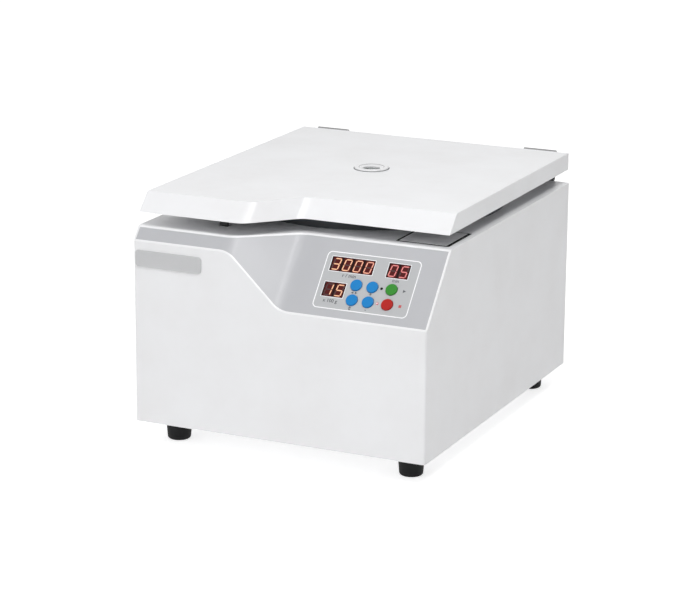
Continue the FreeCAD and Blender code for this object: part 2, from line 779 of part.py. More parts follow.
def lid_block(name, inset, bottom, top, back):
    body = new_body(name)
    plan = new_sketch(body, "XY_Plane", name + "_plan", bottom)
    half = "(dims.body_width/2 - dims.lid_inset - (%s))" % inset
    draw_box(plan, "-" + half, "0", half, "dims.body_depth - (%s)" % inset)
    pad(body, plan, "(%s) - (%s)" % (top, bottom))
    lean = "tan(dims.lid_bevel_angle)"
    shift = "(%s - %s)*%s + %s" % (bottom, LID_BOTTOM, lean, back)
    edge = new_sketch(body, "XY_Plane", name + "_edge", bottom)
    draw_outline(edge, [
        ("-dims.body_width", "dims.lid_front_left + " + shift),
        ("-dims.lid_bend_left_offset", "dims.lid_front_left + " + shift, "dims.lid_bend_radius"),
        ("dims.lid_bend_right_offset", "dims.lid_front_right + " + shift, "dims.lid_bend_radius"),
        ("dims.body_width", "dims.lid_front_right + " + shift),
        ("dims.body_width", "-dims.body_depth"),
        ("-dims.body_width", "-dims.body_depth"),
    ])
    front_cut = pocket(body, edge, "3*dims.lid_height")
    along(front_cut, "sin(dims.lid_bevel_angle)", "cos(dims.lid_bevel_angle)")
    return body


def lid_shell():
    skin = "(dims.lid_sheet/cos(dims.lid_bevel_angle))"
    outside = lid_block("lid_outside", "0", LID_BOTTOM, LID_TOP, "0")
    inside = lid_block("lid_inside", "dims.lid_sheet", LID_BOTTOM, LID_TOP + " - dims.lid_sheet", skin)
    hole = rod("lid_hole", "dims.window_tube + dims.side_gap", "3*dims.lid_sheet",
               ("0", CHAMBER, LID_TOP + " - 2*dims.lid_sheet"))
    return keep(cut("lid", outside, [inside, hole]), "lid_shell")


def lid_liner():
    skin = "(dims.lid_sheet/cos(dims.lid_bevel_angle) + dims.side_gap)"
    sheet = lid_block("liner_sheet_blank", "dims.lid_sheet + dims.fit_gap", LID_BOTTOM,
                      LID_BOTTOM + " + dims.liner_sheet", skin)
    hole = rod("liner_hole", "dims.window_tube + dims.side_gap", "5*dims.liner_sheet",
               ("0", CHAMBER, LID_BOTTOM + " - dims.liner_sheet"))
    return keep(cut("liner", sheet, [hole]), "lid_liner")


def window_ring():
    body = new_body("ring")
    inner = "(dims.window_tube - dims.window_wall)"
    revolve(body, [
        (inner, LID_BOTTOM),
        ("dims.window_tube", LID_BOTTOM),
        ("dims.window_tube", LID_TOP),
        ("dims.window_radius", LID_TOP),
        ("dims.window_radius", LID_TOP + " + dims.window_rise", "dims.window_rise*0.6"),
        ("dims.window_tube", LID_TOP + " + dims.window_rise"),
        ("dims.window_opening", LID_TOP),
        ("dims.window_opening", LID_TOP + " - dims.lid_sheet"),
        (inner, LID_TOP + " - dims.lid_sheet"),
    ], "ring_section")
    return keep(body, "window_ring", "0", CHAMBER)


def window_glass():
    glass = rod("glass", "dims.window_tube - dims.window_wall - dims.running_gap", "dims.glass_thickness",
                ("0", "0", "0"))
    return keep(glass, "window_glass", "0", CHAMBER,
                LID_TOP + " - dims.lid_sheet - dims.glass_thickness")


def lid_striker():
    """Flat tongue with a square eye for the bolt, on a foot fixed under the lid's liner."""
    body = new_body("striker")
    low = "(%s - dims.striker_length)" % LID_BOTTOM
    room = "(dims.bolt_radius + dims.eye_gap)"
    half = "dims.striker_width/2"
    tongue = new_sketch(body, "XZ_Plane", "tongue", "dims.striker_thickness/-2")
    draw_outline(tongue, [
        ("-" + half, LID_BOTTOM), ("-" + half, low, "dims.striker_width/4"),
        (half, low, "dims.striker_width/4"), (half, LID_BOTTOM),
    ])
    pad(body, tongue, "dims.striker_thickness")
    foot = new_sketch(body, "XY_Plane", "striker_foot", LID_BOTTOM + " - dims.striker_thickness")
    draw_box(foot, "-dims.striker_width", "-dims.slot_depth", "dims.striker_width", "dims.slot_depth",
             "dims.striker_width/5")
    pad(body, foot, "dims.striker_thickness")
    hole = new_sketch(body, "XZ_Plane", "eye", "-dims.slot_depth")
    draw_box(hole, "-" + room, "%s - %s" % (BOLT_LEVEL, room), room, "%s + %s" % (BOLT_LEVEL, room),
             "dims.eye_gap")
    pocket(body, hole, "3*dims.slot_depth", reverse=True)
    return keep(body, "lid_striker", "-dims.slot_offset", STRIKER_DEPTH)


BOLT_LEVEL = "(%s - dims.sheet - dims.latch_height/2)" % DECK
STRIKER_DEPTH = "(dims.slot_front + dims.slot_depth/2 - dims.striker_thickness/2)"


def latch_housing():
    left = "(-dims.slot_offset - dims.latch_width/2)"
    front = "(dims.slot_front - dims.latch_front_wall)"
    depth = "(dims.slot_depth + dims.latch_front_wall + dims.latch_rear_wall)"
    low = "(%s - dims.sheet - dims.latch_height)" % DECK
    solid = block("latch_block", ("dims.latch_width", depth, "dims.latch_height"), (left, front, low))
    throat = block("latch_throat", ("dims.slot_width", "dims.slot_depth", "2*dims.latch_height"),
                   ("-dims.slot_offset - dims.slot_width/2", "dims.slot_front",
                    low + " - dims.latch_height/2"))
    guide = rod("bolt_guide", "dims.bolt_radius + dims.running_gap", depth,
                ("-dims.slot_offset", "dims.slot_front + dims.slot_depth/2", BOLT_LEVEL), "y")
    return keep(cut("latch", solid, [throat, guide]), "latch_housing")


def latch_bolt():
    bolt = rod("bolt", "dims.bolt_radius", "dims.bolt_length", ("0", "0", "0"), "y")
    edge = doc.addObject("Part::Chamfer", "bolt_nose")
    doc.recompute()
    ends = [i + 1 for i, line in enumerate(bolt.Shape.Edges) if isinstance(line.Curve, Part.Circle)]
    edge.Base = bolt
    bevel = number("dims.bolt_bevel")
    edge.Edges = [(i, bevel, bevel) for i in ends]
    back = "dims.slot_front + dims.slot_depth + dims.bolt_setback"
    return keep(edge, "latch_bolt", "-dims.slot_offset", back, BOLT_LEVEL)


def latch_solenoid():
    front = "(dims.slot_front + dims.slot_depth + dims.latch_rear_wall)"
    left = "-dims.slot_offset - dims.latch_width*3/8"
    solid = block("coil_frame", ("dims.latch_width*3/4", "dims.solenoid_length", "dims.latch_height"),
                  (left, front, "%s - dims.latch_height/2" % BOLT_LEVEL))
    bore = rod("coil_bore", "dims.bolt_radius + dims.running_gap", "2*dims.solenoid_length",
               ("-dims.slot_offset", front + " - dims.solenoid_length/2", BOLT_LEVEL), "y")
    return keep(cut("coil", solid, [bore]), "latch_solenoid")


# Hinges. The axis lies behind the lid's back edge, just below the level of the lid's top.

def knuckle(name, left, length):
    return rod(name, "dims.knuckle_radius", length, (left, HINGE_DEPTH, HINGE_HEIGHT), "x")


def hinge_bore(name, left):
    return rod(name, "dims.pin_radius + dims.running_gap", "dims.hinge_width + 2*dims.pin_overhang",
               (left + " - dims.pin_overhang", HINGE_DEPTH, HINGE_HEIGHT), "x")


HINGES = {
    "left": "(-dims.hinge_offset - dims.hinge_width/2)",
    "right": "(dims.hinge_offset - dims.hinge_width/2)",
}


def body_hinge_leaves():
    """Leaf on the cabinet's back, stepped out behind the lid's leaf, with the two outer knuckles."""
    leaves = []
    thick = "dims.leaf_thickness"
    step = "(dims.leaf_thickness + dims.leaf_clearance)"
    for side, left in HINGES.items():
        low = block("leaf_low_" + side, ("dims.hinge_width", thick, "dims.leaf_reach"),
                    (left, "dims.body_depth", "%s - dims.leaf_reach" % DECK))
        shelf = block("leaf_step_" + side, ("dims.hinge_width", "%s + %s" % (step, thick), thick),
                      (left, "dims.body_depth", DECK))
        high = block("leaf_high_" + side, ("dims.hinge_width", thick, "%s - %s" % (HINGE_HEIGHT, DECK)),
                     (left, "dims.body_depth + " + step, DECK))
        far_knuckle = left + " + dims.hinge_width - dims.knuckle_length"
        ends = [knuckle("knuckle_a_" + side, left, "dims.knuckle_length"),
                knuckle("knuckle_b_" + side, far_knuckle, "dims.knuckle_length")]
        whole = fuse("leaf_blank_" + side, [low, shelf, high] + ends)
        room = "4*dims.knuckle_radius"
        gap = block("leaf_gap_" + side, ("dims.hinge_width - 2*dims.knuckle_length", room, room),
                    (left + " + dims.knuckle_length", "dims.body_depth - dims.knuckle_radius",
                     "%s - dims.knuckle_radius - dims.leaf_clearance" % HINGE_HEIGHT))
        leaves.append(cut("leaf_" + side, whole, [gap, hinge_bore("bore_" + side, left)]))
    return keep(group("leaves", leaves), "body_hinge_leaves")


def lid_hinge_leaves():
    """Leaf on the lid's back face with the middle knuckle."""
    leaves = []
    thick = "dims.leaf_thickness"
    for side, left in HINGES.items():
        middle = left + " + dims.knuckle_length + dims.side_gap"
        length = "dims.hinge_width - 2*dims.knuckle_length - 2*dims.side_gap"
        low = "(%s + dims.leaf_clearance)" % LID_BOTTOM
        height = "(%s - %s)" % (HINGE_HEIGHT, low)
        plate = block("lid_leaf_plate_" + side,
                      ("dims.hinge_width", thick, height + " - dims.knuckle_radius - dims.side_gap"),
                      (left, "dims.body_depth", low))
        neck = block("lid_leaf_neck_" + side, (length, thick, height), (middle, "dims.body_depth", low))
        barrel = knuckle("knuckle_c_" + side, middle, length)
        whole = fuse("lid_leaf_blank_" + side, [plate, neck, barrel])
        leaves.append(cut("lid_leaf_" + side, whole, [hinge_bore("lid_bore_" + side, left)]))
    return keep(group("lid_leaves", leaves), "lid_hinge_leaves")


def hinge_pins():
    pins = []
    for side, left in HINGES.items():
        pins.append(rod("pin_" + side, "dims.pin_radius", "dims.hinge_width + 2*dims.pin_overhang",
                        (left + " - dims.pin_overhang", HINGE_DEPTH, HINGE_HEIGHT), "x"))
    return keep(group("pins", pins), "hinge_pins")


# Motor on its plate, carried by rubber buffers on four posts that stand on the tray.

POSTS = [(x + "dims.post_offset", y + "dims.post_offset") for x in ("-", "") for y in ("-", "")]
BUFFER_FOOT = "(%s - dims.motor_plate_thickness - dims.buffer_height)" % MOTOR_TOP


def motor_posts():
    posts = []
    height = "%s - %s" % (BUFFER_FOOT, BASE)
    for i, (x, y) in enumerate(POSTS):
        posts.append(rod("post_%d" % i, "dims.post_radius", height, (x, y, BASE)))
    return keep(group("posts", posts), "motor_posts", "0", CHAMBER)


def vibration_mounts():
    mounts = []
    for i, (x, y) in enumerate(POSTS):
        buffer = new_body("buffer_%d" % i)
        waist = "dims.buffer_radius*3/4"
        top = "dims.buffer_height"
        revolve(buffer, [
            ("0", "0"), ("dims.buffer_radius", "0"), ("dims.buffer_radius", top + "/6"),
            (waist, top + "/2"),
            ("dims.buffer_radius", top + "*5/6"), ("dims.buffer_radius", top), ("0", top),
        ], "buffer_section_%d" % i)
        for letter, expression in zip("xyz", (x, y, BUFFER_FOOT)):
            buffer.setExpression("Placement.Base." + letter, expression)
        mounts.append(buffer)
    return keep(group("buffers", mounts), "vibration_mounts", "0", CHAMBER)


def motor_plate():
    body = new_body("plate_body")
    half = "dims.motor_plate_size/2"
    plan = new_sketch(body, "XY_Plane", "plate_plan", "%s - dims.motor_plate_thickness" % MOTOR_TOP)
    draw_box(plan, "-" + half, "-" + half, half, half, "dims.buffer_radius")
    draw_circle(plan, "0", "0", "dims.boss_radius + dims.fit_gap")
    pad(body, plan, "dims.motor_plate_thickness")
    return keep(body, "motor_plate", "0", CHAMBER)


def motor_housing():
    body = new_body("motor")
    top = "(%s - dims.motor_plate_thickness)" % MOTOR_TOP
    bottom = "(%s - %s)" % (top, MOTOR_LENGTH)
    bore = "dims.spindle_radius + dims.running_gap"
    end_bell = "%s/5" % MOTOR_LENGTH
    revolve(body, [
        ("0", bottom),
        ("dims.motor_radius", bottom, "dims.motor_radius/8"),
        ("dims.motor_radius", "%s + %s" % (bottom, end_bell)),
        ("dims.motor_radius - dims.sheet", "%s + %s" % (bottom, end_bell)),
        ("dims.motor_radius - dims.sheet", "%s - %s" % (top, end_bell)),
        ("dims.motor_radius", "%s - %s" % (top, end_bell)),
        ("dims.motor_radius", top),
        ("dims.boss_radius", top),
        ("dims.boss_radius", MOTOR_TOP),
        (bore, MOTOR_TOP),
        (bore, SPINDLE_FOOT + " - dims.side_gap"),
        ("0", SPINDLE_FOOT + " - dims.side_gap"),
    ], "motor_section")
    return keep(body, "motor_housing", "0", CHAMBER)


SPINDLE_FOOT = "(%s - %s/2)" % (MOTOR_TOP, MOTOR_LENGTH)


def shaft_boot():
    """Rubber sleeve between the motor plate and the hole in the bowl."""
    body = new_body("boot")
    under = "(%s - dims.bowl_wall)" % BOWL_FLOOR
    revolve(body, [
        ("dims.bowl_hole", MOTOR_TOP),
        ("dims.bowl_hole + dims.bowl_clearance", MOTOR_TOP),
        ("dims.bowl_hole + dims.bowl_clearance/2", "(%s + %s)/2" % (MOTOR_TOP, under)),
        ("dims.bowl_hole + dims.bowl_clearance", under),
        ("dims.bowl_hole", under),
    ], "boot_section")
    return keep(body, "shaft_boot", "0", CHAMBER)


def motor_driver():
    """Power board on the tray at the front left: board on feet, transformer, heat sink, capacitors."""
    left, front = "(dims.driver_inset - dims.body_width/2)", "dims.driver_inset"
    foot = "dims.driver_foot_height"
    board = block("driver_board", ("dims.driver_width", "dims.driver_depth", "dims.board_thickness"),
                  (left, front, "%s + %s" % (BASE, foot)))
    pieces = [board]
    for i, (x, y) in enumerate(((0, 0), (1, 0), (0, 1), (1, 1))):
        across = "%s + %s + %d*(dims.driver_width - 2*%s)" % (left, foot, x, foot)
        deep = "%s + %s + %d*(dims.driver_depth - 2*%s)" % (front, foot, y, foot)
        pieces.append(rod("driver_foot_%d" % i, "dims.driver_foot_radius", foot, (across, deep, BASE)))
    top = "%s + %s + dims.board_thickness" % (BASE, foot)
    transformer = ("dims.transformer_width", "dims.transformer_depth", "dims.transformer_height")
    pieces.append(block("transformer", transformer,
                        (left + " + dims.driver_foot_radius", front + " + 2*" + foot, top)))
    sink = ("dims.heat_sink_width", "dims.heat_sink_side", "dims.heat_sink_side")
    sink_left = left + " + dims.driver_width - dims.heat_sink_width - dims.driver_foot_radius"
    sink_front = front + " + dims.driver_depth - dims.heat_sink_side - dims.driver_foot_radius"
    pieces.append(block("heat_sink", sink, (sink_left, sink_front, top)))
    first = left + " + dims.transformer_width - dims.driver_foot_radius"
    for i in range(2):
        across = "%s + %d*2.2*dims.capacitor_radius" % (first, i + 1)
        pieces.append(rod("capacitor_%d" % i, "dims.capacitor_radius", "dims.capacitor_height",
                          (across, front + " + 2*" + foot, top)))
    return keep(fuse("driver", pieces), "motor_driver")


# Rotor

def drive_spindle():
    body = new_body("spindle")
    revolve(body, [
        ("0", SPINDLE_FOOT),
        ("dims.spindle_radius", SPINDLE_FOOT),
        ("dims.spindle_radius", HEAD_BOTTOM),
        ("dims.nose_radius", HEAD_BOTTOM),
        ("dims.nose_radius", HUB_TOP + " - dims.thread_radius/2"),
        ("dims.thread_radius", HUB_TOP),
        ("dims.thread_radius", HUB_TOP + " + dims.knob_height*2/3"),
        ("0", HUB_TOP + " + dims.knob_height*2/3"),
    ], "spindle_section")
    return keep(body, "drive_spindle", "0", CHAMBER)


def rotor_head():
    """Turned pan with a hub and, at each station, two ears whose open notches take a clip's pins."""
    body = new_body("head")
    rim_top = "(%s + dims.head_rim_height)" % HEAD_BOTTOM
    inner = "(%s - dims.head_wall)" % HEAD_RADIUS
    revolve(body, [
        ("dims.nose_radius + dims.running_gap", HEAD_BOTTOM),
        (HEAD_RADIUS, HEAD_BOTTOM, "2*dims.head_wall"),
        (HEAD_RADIUS, rim_top, "dims.head_wall/3"),
        (inner, rim_top, "dims.head_wall/3"),
        (inner, HEAD_FLOOR, "dims.head_wall*2/3"),
        ("dims.hub_radius", HEAD_FLOOR, "2*dims.head_wall"),
        ("dims.hub_radius", HUB_TOP, "dims.head_wall*2/3"),
        ("dims.nose_radius + dims.running_gap", HUB_TOP),
    ], "head_section")
    level = "(%s + dims.pivot_height)" % HEAD_FLOOR
    slot = "(dims.trunnion_radius + dims.running_gap)"
    ear_top = "(%s + 3*dims.trunnion_radius)" % level
    near = "(%s - 4*dims.trunnion_radius)" % PIVOT_RADIUS
    far = "(%s + dims.head_wall/3)" % inner
    foot = "(%s - dims.head_wall/3)" % HEAD_FLOOR
    notch_far, notch_near = ("(%s %s %s)" % (PIVOT_RADIUS, sign, slot) for sign in "+-")
    notch_low = "(%s - %s)" % (level, slot)
    ears = []
    for side, start in (("left", "-%s - dims.ear_plate" % EAR_FACE), ("right", EAR_FACE)):
        ear = new_sketch(body, "YZ_Plane", "ear_" + side, start)
        draw_outline(ear, [
            (near, foot), (far, foot), (far, ear_top),
            (notch_far, ear_top), (notch_far, notch_low, slot + "*0.98"),
            (notch_near, notch_low, slot + "*0.98"), (notch_near, ear_top),
            (near, ear_top, "dims.trunnion_radius"),
        ])
        ears.append(pad(body, ear, "dims.ear_plate"))
    spread(body, ears, "dims.stations")
    hole = new_sketch(body, "XY_Plane", "relief", HEAD_FLOOR)
    middle = "(dims.hub_radius + (%s - dims.hub_radius)*0.42)" % PIVOT_RADIUS
    draw_circle(hole, middle + "*sin(180/dims.stations)", middle + "*cos(180/dims.stations)",
                "dims.hub_radius*0.7")
    relief = pocket(body, hole, "2*dims.head_floor")
    spread(body, [relief], "dims.stations")
    return keep(body, "rotor_head", "0", CHAMBER)


def rotor_knob():
    """Knob that screws the head down, with finger scallops."""
    body = new_body("knob")
    bore = "dims.thread_radius + dims.running_gap"
    top = "(%s + dims.knob_height)" % HUB_TOP
    bore_top = HUB_TOP + " + dims.knob_height*3/4"
    revolve(body, [
        (bore, HUB_TOP), ("dims.knob_radius*0.8", HUB_TOP),
        ("dims.knob_radius", HUB_TOP + " + dims.knob_height/3"),
        ("dims.knob_radius", top, "dims.knob_radius*0.15"), ("0", top), ("0", bore_top), (bore, bore_top),
    ], "knob_section")
    scallop = new_sketch(body, "XY_Plane", "scallop", top)
    draw_circle(scallop, "dims.knob_radius*1.18", "0", "dims.knob_radius*0.3")
    groove = pocket(body, scallop, "dims.knob_height")
    spread(body, [groove], "8")
    return keep(body, "rotor_knob", "0", CHAMBER)


# Station pieces are drawn upright about their own pivot: x along the pivot, y outward, z up.

CLIP_HALF = "(dims.slide_width/2 + dims.clip_clearance + dims.clip_sheet)"
EAR_FACE = "(%s + dims.ear_gap)" % CLIP_HALF
SLIDE_BACK = "(dims.flange_thickness + dims.card_thickness + dims.slide_thickness + dims.flange_offset)"
SLIDE_FACE = "(%s - dims.slide_thickness)" % SLIDE_BACK
FLANGE_FACE = "(%s - dims.card_thickness - dims.flange_thickness)" % SLIDE_FACE


def station_place(index):
    angle = index * 360 / number("dims.stations")
    middle = Vector(0, number(CHAMBER), number(HEAD_FLOOR))
    centre = Placement(middle, Rotation(Vector(0, 0, 1), angle))
    pivot = Vector(0, number(PIVOT_RADIUS), number("dims.pivot_height"))
    return centre * Placement(pivot, Rotation(Vector(1, 0, 0), number("dims.rest_tilt")))


def slide_clip(index):
    """Sheet channel that holds the glass, folded from one blank, with a pin on each side."""
    body = new_body("clip_body_%d" % index)
    tag = "_%d" % index
    inner = "(%s - dims.clip_sheet)" % CLIP_HALF
    back = "(%s + dims.clip_sheet)" % SLIDE_BACK
    lip = "(%s - dims.clip_sheet - 2*dims.fit_gap)" % FLANGE_FACE
    ear = "(-2*dims.trunnion_radius)"
    height = "dims.slide_height + dims.clip_drop + dims.trunnion_radius"
    plan = new_sketch(body, "XY_Plane", "clip_plan" + tag, "-dims.clip_drop")
    draw_outline(plan, [
        ("-" + CLIP_HALF, back), ("-" + CLIP_HALF, ear), ("-" + inner, ear), ("-" + inner, SLIDE_BACK),
        (inner, SLIDE_BACK), (inner, ear), (CLIP_HALF, ear), (CLIP_HALF, back),
    ])
    pad(body, plan, height)
    side = new_sketch(body, "YZ_Plane", "clip_side" + tag, "-dims.slide_width")
    top = "dims.slide_height + 2*dims.trunnion_radius"
    tab_low, tab_high = "dims.slide_height*0.3", "dims.slide_height*0.72"
    draw_outline(side, [
        ("2*" + ear, "dims.slide_height*0.12"), (lip, "dims.slide_height*0.12", "dims.clip_radius"),
        (SLIDE_FACE, tab_low), (lip, tab_low), (lip, tab_high),
        (SLIDE_FACE, tab_high, "dims.clip_radius/2"),
        (SLIDE_FACE, top), ("2*" + ear, top),
    ])
    pocket(body, side, "2*dims.slide_width", reverse=True)
    finger = new_sketch(body, "XZ_Plane", "finger" + tag, "-(%s)" % lip)
    middle_low, middle_high = "dims.slide_height*0.4", "dims.slide_height*0.62"
    tip, turn = "dims.slide_width/3", "dims.clip_radius/2"
    draw_outline(finger, [("-" + CLIP_HALF, middle_low), ("-" + tip, middle_low, turn),
                          ("-" + tip, middle_high, turn), ("-" + CLIP_HALF, middle_high)])
    draw_outline(finger, [(CLIP_HALF, middle_low), (CLIP_HALF, middle_high), (tip, middle_high, turn),
                          (tip, middle_low, turn)])
    pad(body, finger, "dims.clip_sheet", reverse=True)
    shelf = new_sketch(body, "XY_Plane", "shelf" + tag, "-dims.clip_sheet")
    weld = "2*dims.fit_gap"
    draw_box(shelf, "-%s - %s" % (inner, weld), FLANGE_FACE, "%s + %s" % (inner, weld),
             "%s + %s" % (SLIDE_BACK, weld))
    pad(body, shelf, "dims.clip_sheet")
    pins = new_sketch(body, "YZ_Plane", "pins" + tag, inner)
    draw_circle(pins, "0", "0", "dims.trunnion_radius")
    pin_length = "dims.clip_sheet + dims.ear_gap + dims.ear_plate - dims.side_gap"
    pad(body, pins, pin_length)
    other = new_sketch(body, "YZ_Plane", "other_pin" + tag, "-" + inner)
    draw_circle(other, "0", "0", "dims.trunnion_radius")
    pad(body, other, pin_length, reverse=True)
    view = new_sketch(body, "XZ_Plane", "view_hole" + tag, "-%s - 2*dims.clip_sheet" % SLIDE_BACK)
    draw_circle(view, "0", "dims.nozzle_height", "dims.nozzle_radius*1.3")
    pocket(body, view, "4*dims.clip_sheet", midplane=True)
    return keep_turned(body, "slide_clip_%d" % (index + 1), station_place(index))


def glass_slide(index):
    slide = block("glass_%d" % index, ("dims.slide_width", "dims.slide_thickness", "dims.slide_height"),
                  ("0", "0", "0"))
    for letter in "xyz":
        slide.setExpression("Placement.Base." + letter, None)
    corner = Placement(Vector(-number("dims.slide_width") / 2, number(SLIDE_FACE), 0), Rotation())
    return keep_turned(slide, "glass_slide_%d" % (index + 1), station_place(index) * corner)


def sample_funnel(index):
    """Funnel with a flange that presses its filter card on the slide: well, nozzle and flange."""
    body = new_body("funnel_body_%d" % index)
    tag = "_%d" % index
    half = "(dims.slide_width/2 - dims.side_gap)"
    low, high = "dims.slide_height*0.06", "dims.slide_height*0.8"
    flange = new_sketch(body, "XZ_Plane", "flange" + tag, "-%s" % SLIDE_FACE)
    draw_box(flange, "-" + half, low, half, high, "dims.flange_radius")
    pad(body, flange, "dims.flange_thickness + dims.card_thickness")
    nozzle = new_sketch(body, "XZ_Plane", "nozzle" + tag, "-%s" % FLANGE_FACE)
    draw_circle(nozzle, "0", "dims.nozzle_height", "dims.nozzle_radius")
    pad(body, nozzle, "dims.well_setback + %s" % FLANGE_FACE)
    well = new_sketch(body, "XY_Plane", "well" + tag, WELL_FOOT)
    draw_circle(well, "0", "-dims.well_setback", "dims.well_radius")
    pad(body, well, "dims.well_height")
    room = new_sketch(body, "XY_Plane", "well_room" + tag, "%s + dims.well_height" % WELL_FOOT)
    draw_circle(room, "0", "-dims.well_setback", "dims.well_radius - dims.well_wall")
    pocket(body, room, "dims.well_height - dims.well_wall")
    port = new_sketch(body, "XZ_Plane", "port" + tag, "-%s" % SLIDE_FACE)
    draw_circle(port, "0", "dims.nozzle_height", "dims.port_radius")
    pocket(body, port, "dims.well_setback + %s" % SLIDE_FACE, reverse=True)
    return keep_turned(body, "sample_funnel_%d" % (index + 1), station_place(index))


WELL_FOOT = "(dims.nozzle_height - dims.nozzle_radius - dims.well_wall)"


# Rear

def rear_panel():
    body = new_body("panel")
    left = "-dims.panel_width/2"
    low = "(%s + dims.panel_level)" % BASE
    face = new_sketch(body, "XZ_Plane", "panel_face", "-dims.body_depth - dims.panel_sheet")
    draw_box(face, left, low, "dims.panel_width/2", "%s + %s" % (low, REAR_HEIGHT),
             "dims.panel_overlap/3")
    hole_x = "(dims.inlet_width/2 - dims.inlet_overlap)"
    hole_z = "(dims.inlet_height/2 - dims.inlet_overlap)"
    draw_box(face, INLET_MIDDLE + " - " + hole_x, INLET_LEVEL + " - " + hole_z,
             INLET_MIDDLE + " + " + hole_x, INLET_LEVEL + " + " + hole_z)
    for x, z in SCREWS:
        draw_circle(face, x, z, "dims.screw_radius + dims.fit_gap")
    pad(body, face, "dims.panel_sheet")
    slot = new_sketch(body, "XZ_Plane", "vent", "-dims.body_depth - dims.panel_sheet")
    start = "-dims.panel_width/2 + 2*dims.panel_overlap"
    draw_box(slot, start, low + " + 2*dims.panel_overlap", start + " + dims.vent_length",
             low + " + 2*dims.panel_overlap + dims.vent_width", SLOT_END)
    hole = pocket(body, slot, "dims.panel_sheet", reverse=True)
    doc.recompute()
    pattern = body.newObject("PartDesign::MultiTransform", "vents")
    pattern.Originals = [hole]
    steps = []
    columns = ("X_Axis", "(dims.vent_length + dims.vent_pitch)", "2")
    for role, pitch, count in (("Z_Axis", "dims.vent_pitch", "dims.rear_vent_rows"), columns):
        step = body.newObject("PartDesign::LinearPattern", "vents_" + role[0])
        axis = [line for line in body.Origin.OriginFeatures if line.Role == role][0]
        step.Direction = (axis, [""])
        step.setExpression("Length", "%s*(%s - 1)" % (pitch, count))
        step.setExpression("Occurrences", count)
        steps.append(step)
    pattern.Transformations = steps
    body.Tip = pattern
    return keep(body, "rear_panel")


INLET_MIDDLE = "(dims.panel_width/2 - dims.inlet_inset)"
INLET_LEVEL = "(%s + dims.panel_level + %s/2)" % (BASE, REAR_HEIGHT)
FLANGE_BACK = "(dims.body_depth + dims.panel_sheet)"
FLANGE_OUT = "(%s + dims.inlet_flange)" % FLANGE_BACK
ROCKER_LEVEL = "(%s + dims.inlet_height/2 - dims.rocker_height)" % INLET_LEVEL
ROCKER_AXIS = "(%s - dims.rocker_depth)" % FLANGE_OUT
SOCKET_LEVEL = "(%s - dims.inlet_height/2 + dims.socket_height*0.8)" % INLET_LEVEL


def rear_screws():
    screws = []
    for i, (x, z) in enumerate(SCREWS):
        head = rod("screw_head_%d" % i, "dims.screw_head_radius", "dims.screw_head_height",
                   (x, FLANGE_BACK, z), "y")
        stem = rod("screw_stem_%d" % i, "dims.screw_radius", "dims.panel_sheet + 2*dims.sheet",
                   (x, "dims.body_depth - 2*dims.sheet", z), "y")
        screws.append(fuse("screw_%d" % i, [head, stem]))
    return keep(group("screws", screws), "rear_screws")


def power_inlet():
    """Inlet with its fuse drawer and the well of the rocker switch, in one flanged housing."""
    left = "(%s - dims.inlet_width/2)" % INLET_MIDDLE
    low = "(%s - dims.inlet_height/2)" % INLET_LEVEL
    flange = block("inlet_plate", ("dims.inlet_width", "dims.inlet_flange", "dims.inlet_height"),
                   (left, FLANGE_BACK, low))
    inner = "(dims.inlet_overlap + dims.fit_gap)"
    core = block("inlet_core",
                 ("dims.inlet_width - 2*" + inner, "dims.inlet_depth", "dims.inlet_height - 2*" + inner),
                 ("%s + %s" % (left, inner), FLANGE_BACK + " - dims.inlet_depth",
                  "%s + %s" % (low, inner)))
    socket = new_body("socket_room")
    mouth = new_sketch(socket, "XZ_Plane", "socket_mouth", "-" + FLANGE_OUT)
    half, side = "dims.socket_width/2", "dims.socket_height/2"
    corner = "dims.socket_height/4"
    draw_outline(mouth, [
        ("-" + half, "-" + side), (half, "-" + side), (half, "%s - %s" % (side, corner)),
        ("%s - %s" % (half, corner), side), ("-%s + %s" % (half, corner), side),
        ("-" + half, "%s - %s" % (side, corner)),
    ])
    pad(socket, mouth, "dims.socket_depth")
    socket.setExpression("Placement.Base.x", INLET_MIDDLE)
    socket.setExpression("Placement.Base.z", SOCKET_LEVEL)
    well_width = "(dims.rocker_width + 2*dims.side_gap)"
    well_left = "(%s - %s/2)" % (INLET_MIDDLE, well_width)
    well = block("rocker_well",
                 (well_width, "dims.rocker_height + dims.rocker_depth",
                  "dims.rocker_height + 4*dims.side_gap"),
                 (well_left, FLANGE_OUT + " - dims.rocker_height",
                  ROCKER_LEVEL + " - dims.rocker_height/2 - 2*dims.side_gap"))
    bearing = rod("rocker_bearing", "dims.rocker_pin_radius + dims.running_gap",
                  well_width + " + 3*dims.rocker_pin_radius",
                  (well_left + " - 1.5*dims.rocker_pin_radius", ROCKER_AXIS, ROCKER_LEVEL), "x")
    blank = fuse("inlet_blank", [flange, core])
    hollow = cut("inlet_hollow", blank, [socket, well, bearing])
    middle = "((%s + dims.socket_height/2 + %s - dims.rocker_height/2)/2)" % (SOCKET_LEVEL, ROCKER_LEVEL)
    drawer = block("fuse_drawer", ("dims.socket_width", "dims.drawer_rise", "dims.drawer_height"),
                   (INLET_MIDDLE + " - dims.socket_width/2", FLANGE_OUT,
                    "%s - dims.drawer_height/2" % middle))
    blades = []
    size = ("dims.blade_width", "dims.socket_depth - dims.blade_width", "dims.blade_height")
    for i, (x, z) in enumerate(((-1, 1), (1, 1), (0, -1))):
        across = "%s + %d*dims.blade_spacing - dims.blade_width/2" % (INLET_MIDDLE, x)
        up = "%s + %d*dims.blade_width - dims.blade_height/2" % (SOCKET_LEVEL, z)
        blades.append(block("contact_%d" % i, size, (across, FLANGE_OUT + " - dims.socket_depth", up)))
    return keep(fuse("inlet", [hollow, drawer] + blades), "power_inlet")


